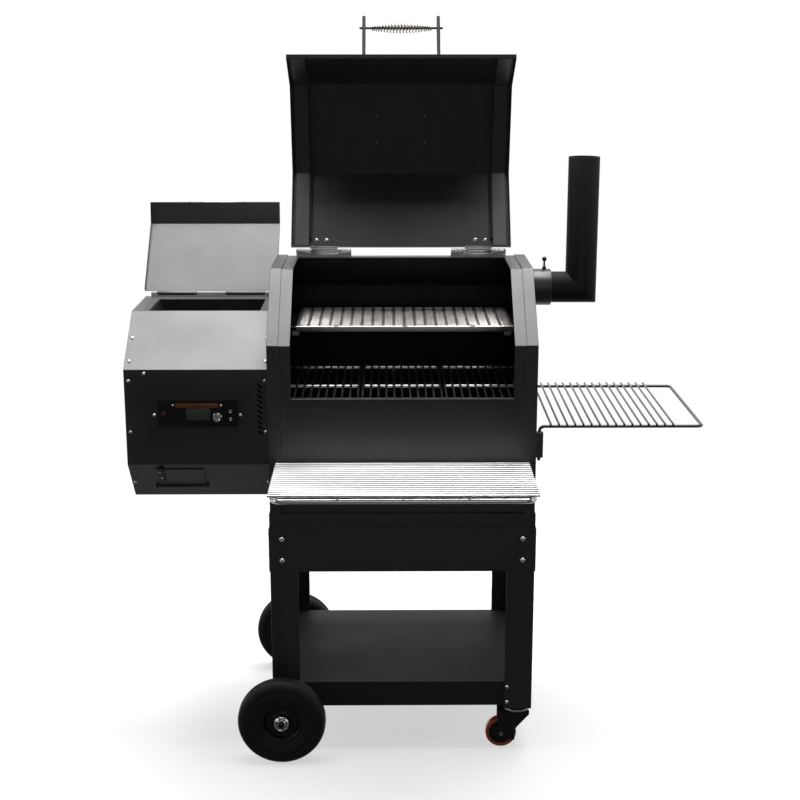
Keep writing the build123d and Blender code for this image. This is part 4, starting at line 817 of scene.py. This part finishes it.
SIDE = [(62, 21), (64.5, 24.2), (68, 25.6), (72, 26.4), (73, 25.8), (74.5, 26.9), (84, 28.3), (97, 28.9), (98.2, 28.2), (99.4, 28.9), (108, 28.2), (115, 26.2), (118.5, 24.2), (121.8, 21.6), (124.6, 17.8), (126.2, 13.2)]
TREAD = [(126.9, 9.6), (124.6, 9.0), (124.6, 7.2), (127, 6.6), (127, 3.0), (124.8, 2.4), (124.8, 0.0)]
for name, y, body in (("front", -56, "wheel_front"), ("rear", 606, "wheel_rear")):
    half = SIDE + TREAD
    prof = [(mm(r), mm(-h)) for r, h in half] + [(mm(r), mm(h)) for r, h in half[::-1][1:]]
    bm = bmesh.new()
    lathe(bm, prof + [prof[0]], P(WX, y, WZ), (0, 1, 0), 96)
    finish_mesh(bm, "tyre_" + name + "_moulded", "tyre", body, ("tyre_" + name,), sharp=50)
    bm = bmesh.new()
    for d in (-1, 1):
        ring = [(8.1, 27.8), (13.5, 28.0), (14.5, 26.6), (20.0, 26.6), (20.6, 27.6), (22.0, 27.2), (22.6, 25.0), (24.5, 15.0), (28.5, 11.5), (40, 8.6), (45.5, 9.6), (49, 14.5), (51.5, 19.5), (54, 21.2), (58, 21.8), (61, 23.4), (63.2, 23.2), (63.4, 21.2), (62, 20.5)]
        lathe(bm, [(mm(r), mm(h)) for r, h in ring], P(WX, y, WZ), (0, d, 0), 72)
    finish_mesh(bm, "rim_" + name + "_pressed", "rim", body, ("rim_" + name,), sharp=40)
    bm = bmesh.new()
    for d in (-1, 1):
        lathe(bm, [(mm(14.6), mm(26.0)), (mm(14.9), mm(27.6)), (mm(15.7), mm(28.5)), (mm(16.5), mm(27.7)), (mm(17.4), mm(28.5)), (mm(18.2), mm(27.7)), (mm(19.1), mm(28.4)), (mm(19.9), mm(27.5)), (mm(20.9), mm(28.1)), (mm(22.2), mm(26.8)), (mm(23.2), mm(25.0)), (mm(22.6), mm(22.0)), (mm(20), mm(22.0))], P(WX, y, WZ), (0, d, 0), 60)
    finish_mesh(bm, "hub_cap_ring_" + name, "silver", body, sharp=50)

# casters
remake("caster_plates", "plated", 0.0006)
for name, y, fb, wb in (("front", 34, "caster_swivel_f", "caster_roller_f"), ("rear", 516, "caster_swivel_r", "caster_roller_r")):
    remake("caster_fork_" + name, "hub", 0.0008, 2)
    bm = bmesh.new()
    lathe(bm, [(mm(30), mm(128.5)), (mm(35.5), mm(128.5)), (mm(37.2), mm(127.2)), (mm(37.2), mm(123)), (mm(36.4), mm(121))], P(338, y, 0), (0, 0, 1), 60)
    finish_mesh(bm, "caster_race_" + name, "plated", fb, sharp=60)
    bm = bmesh.new()
    for d in (-1, 1):
        bolt_head(bm, P(292, y + d * 21, 46), (0, d, 0), 0.0082, 0.0046, "dome")
    finish_mesh(bm, "caster_axle_heads_" + name, "chrome", fb)
    tread = [(35, 12.6), (39, 14.6), (42.5, 14.4), (44.6, 12.4), (45.7, 9), (46, 5), (46, 0)]
    prof = [(mm(r), mm(-h)) for r, h in tread] + [(mm(r), mm(h)) for r, h in tread[::-1][1:]]
    bm = bmesh.new()
    lathe(bm, prof, P(292, y, 46), (0, 1, 0), 72)
    finish_mesh(bm, "caster_tread_" + name, "red", wb, ("caster_wheel_" + name,), sharp=60)
    bm = bmesh.new()
    for d in (-1, 1):
        lathe(bm, [(mm(r), mm(h)) for r, h in [(4.1, 16.4), (10.8, 16.4), (12, 15.6), (13, 9), (15, 7), (29, 6), (32, 9.5), (35.4, 12.9), (36.2, 12.4)]], P(292, y, 46), (0, d, 0), 60)
    finish_mesh(bm, "caster_hub_" + name, "hub", wb, sharp=45)

# ---------------------------------------------------------------------------
# Floor, light and camera
def emitter(name, at, target, size, power, colour=(1, 1, 1)):
    light = bpy.data.lights.new(name, "AREA")
    light.shape = "RECTANGLE"
    light.size, light.size_y = size
    light.energy = power
    light.color = colour
    o = bpy.data.objects.new(name, light)
    o.location = at
    o.rotation_euler = (Vector(target) - Vector(at)).to_track_quat("-Z", "Y").to_euler()
    o.visible_camera = False
    bpy.context.scene.collection.objects.link(o)
    return o


emitter("overhead", (0.0, 0.6, 4.3), (0.0, 0.45, 0.9), (3.6, 2.7), 320)
emitter("left_strip", (-3.4, -1.3, 1.7), (0, 0, 0.9), (0.9, 2.6), 18)
emitter("right_strip", (3.4, -1.0, 1.7), (0, 0, 1.0), (0.9, 2.6), 14)
emitter("front_fill", (0.3, -4.6, 2.6), (0, 0, 1.0), (2.6, 1.6), 10)

bm = bmesh.new()
rings = [0.0, 0.6, 1.2, 1.8, 2.4, 3.0, 3.6, 4.4]
lathe(bm, [(r, 0.0) for r in rings[::-1]], (0, 0.1, -0.0006), (0, 0, 1), 96)
for f in bm.faces:
    f.smooth = True
me = bpy.data.meshes.new("studio_floor")
bmesh.ops.recalc_face_normals(bm, faces=bm.faces)
bm.to_mesh(me)
bm.free()
floor = bpy.data.objects.new("studio_floor", me)
bpy.context.scene.collection.objects.link(floor)
fm = Nodes("studio_floor_paint")
ft = fm.t
length = ft.nodes.new("ShaderNodeVectorMath")
length.operation = "LENGTH"
fm.link(fm.co, length.inputs[0])
fade = ft.nodes.new("ShaderNodeMapRange")
fade.interpolation_type = "SMOOTHSTEP"
fade.inputs["From Min"].default_value = 1.5
fade.inputs["From Max"].default_value = 4.2
fade.inputs["To Min"].default_value = 1.0
fade.inputs["To Max"].default_value = 0.0
fm.link(length.outputs["Value"], fade.inputs["Value"])
fm.link(fade.outputs["Result"], fm.b.inputs["Alpha"])
fm.link(fm.ramp(fm.noise(3, 3), [(0.3, (0.40, 0.40, 0.40)), (0.7, (0.42, 0.42, 0.42))]), fm.b.inputs["Base Color"])
fm.b.inputs["Emission Color"].default_value = (1, 1, 1, 1)
fm.b.inputs["Emission Strength"].default_value = 0.57
fm.set(spec=0.1, rough=0.8)
floor.visible_glossy = False
floor.visible_diffuse = False
me.materials.append(fm.mat)

world = bpy.data.worlds.new("studio")
bpy.context.scene.world = world
world.use_nodes = True
wt = world.node_tree
bg = wt.nodes["Background"]
bg.inputs["Color"].default_value = (1, 1, 1, 1)
# a white backdrop behind the part and a darker room in front of it
dirn = wt.nodes.new("ShaderNodeTexCoord")
split = wt.nodes.new("ShaderNodeSeparateXYZ")
wt.links.new(dirn.outputs["Generated"], split.inputs[0])
shade = wt.nodes.new("ShaderNodeMapRange")
shade.interpolation_type = "SMOOTHSTEP"
shade.inputs["From Min"].default_value = -0.1
shade.inputs["From Max"].default_value = 0.85
shade.inputs["To Min"].default_value = 0.09
shade.inputs["To Max"].default_value = 1.0
wt.links.new(split.outputs["Y"], shade.inputs["Value"])
wt.links.new(shade.outputs["Result"], bg.inputs["Strength"])
seen = wt.nodes.new("ShaderNodeBackground")
seen.inputs["Color"].default_value = (1, 1, 1, 1)
seen.inputs["Strength"].default_value = 1.0
lp = wt.nodes.new("ShaderNodeLightPath")
mixer = wt.nodes.new("ShaderNodeMixShader")
wt.links.new(lp.outputs["Is Camera Ray"], mixer.inputs[0])
wt.links.new(bg.outputs[0], mixer.inputs[1])
wt.links.new(seen.outputs[0], mixer.inputs[2])
wt.links.new(mixer.outputs[0], wt.nodes["World Output"].inputs["Surface"])
bpy.context.scene.view_settings.view_transform = "Standard"

cam_data = bpy.data.cameras.new("camera")
cam_data.sensor_width = 36.0
cam_data.lens = 36.0 * 1430 / 800
cam_data.clip_end = 200
cam = bpy.data.objects.new("camera", cam_data)
cam.location = P(-38.2, -3848.7, 2030.5)
cam.rotation_euler = (radians(90 - 14.055), 0, radians(-0.466))
bpy.context.scene.collection.objects.link(cam)
bpy.context.scene.camera = cam
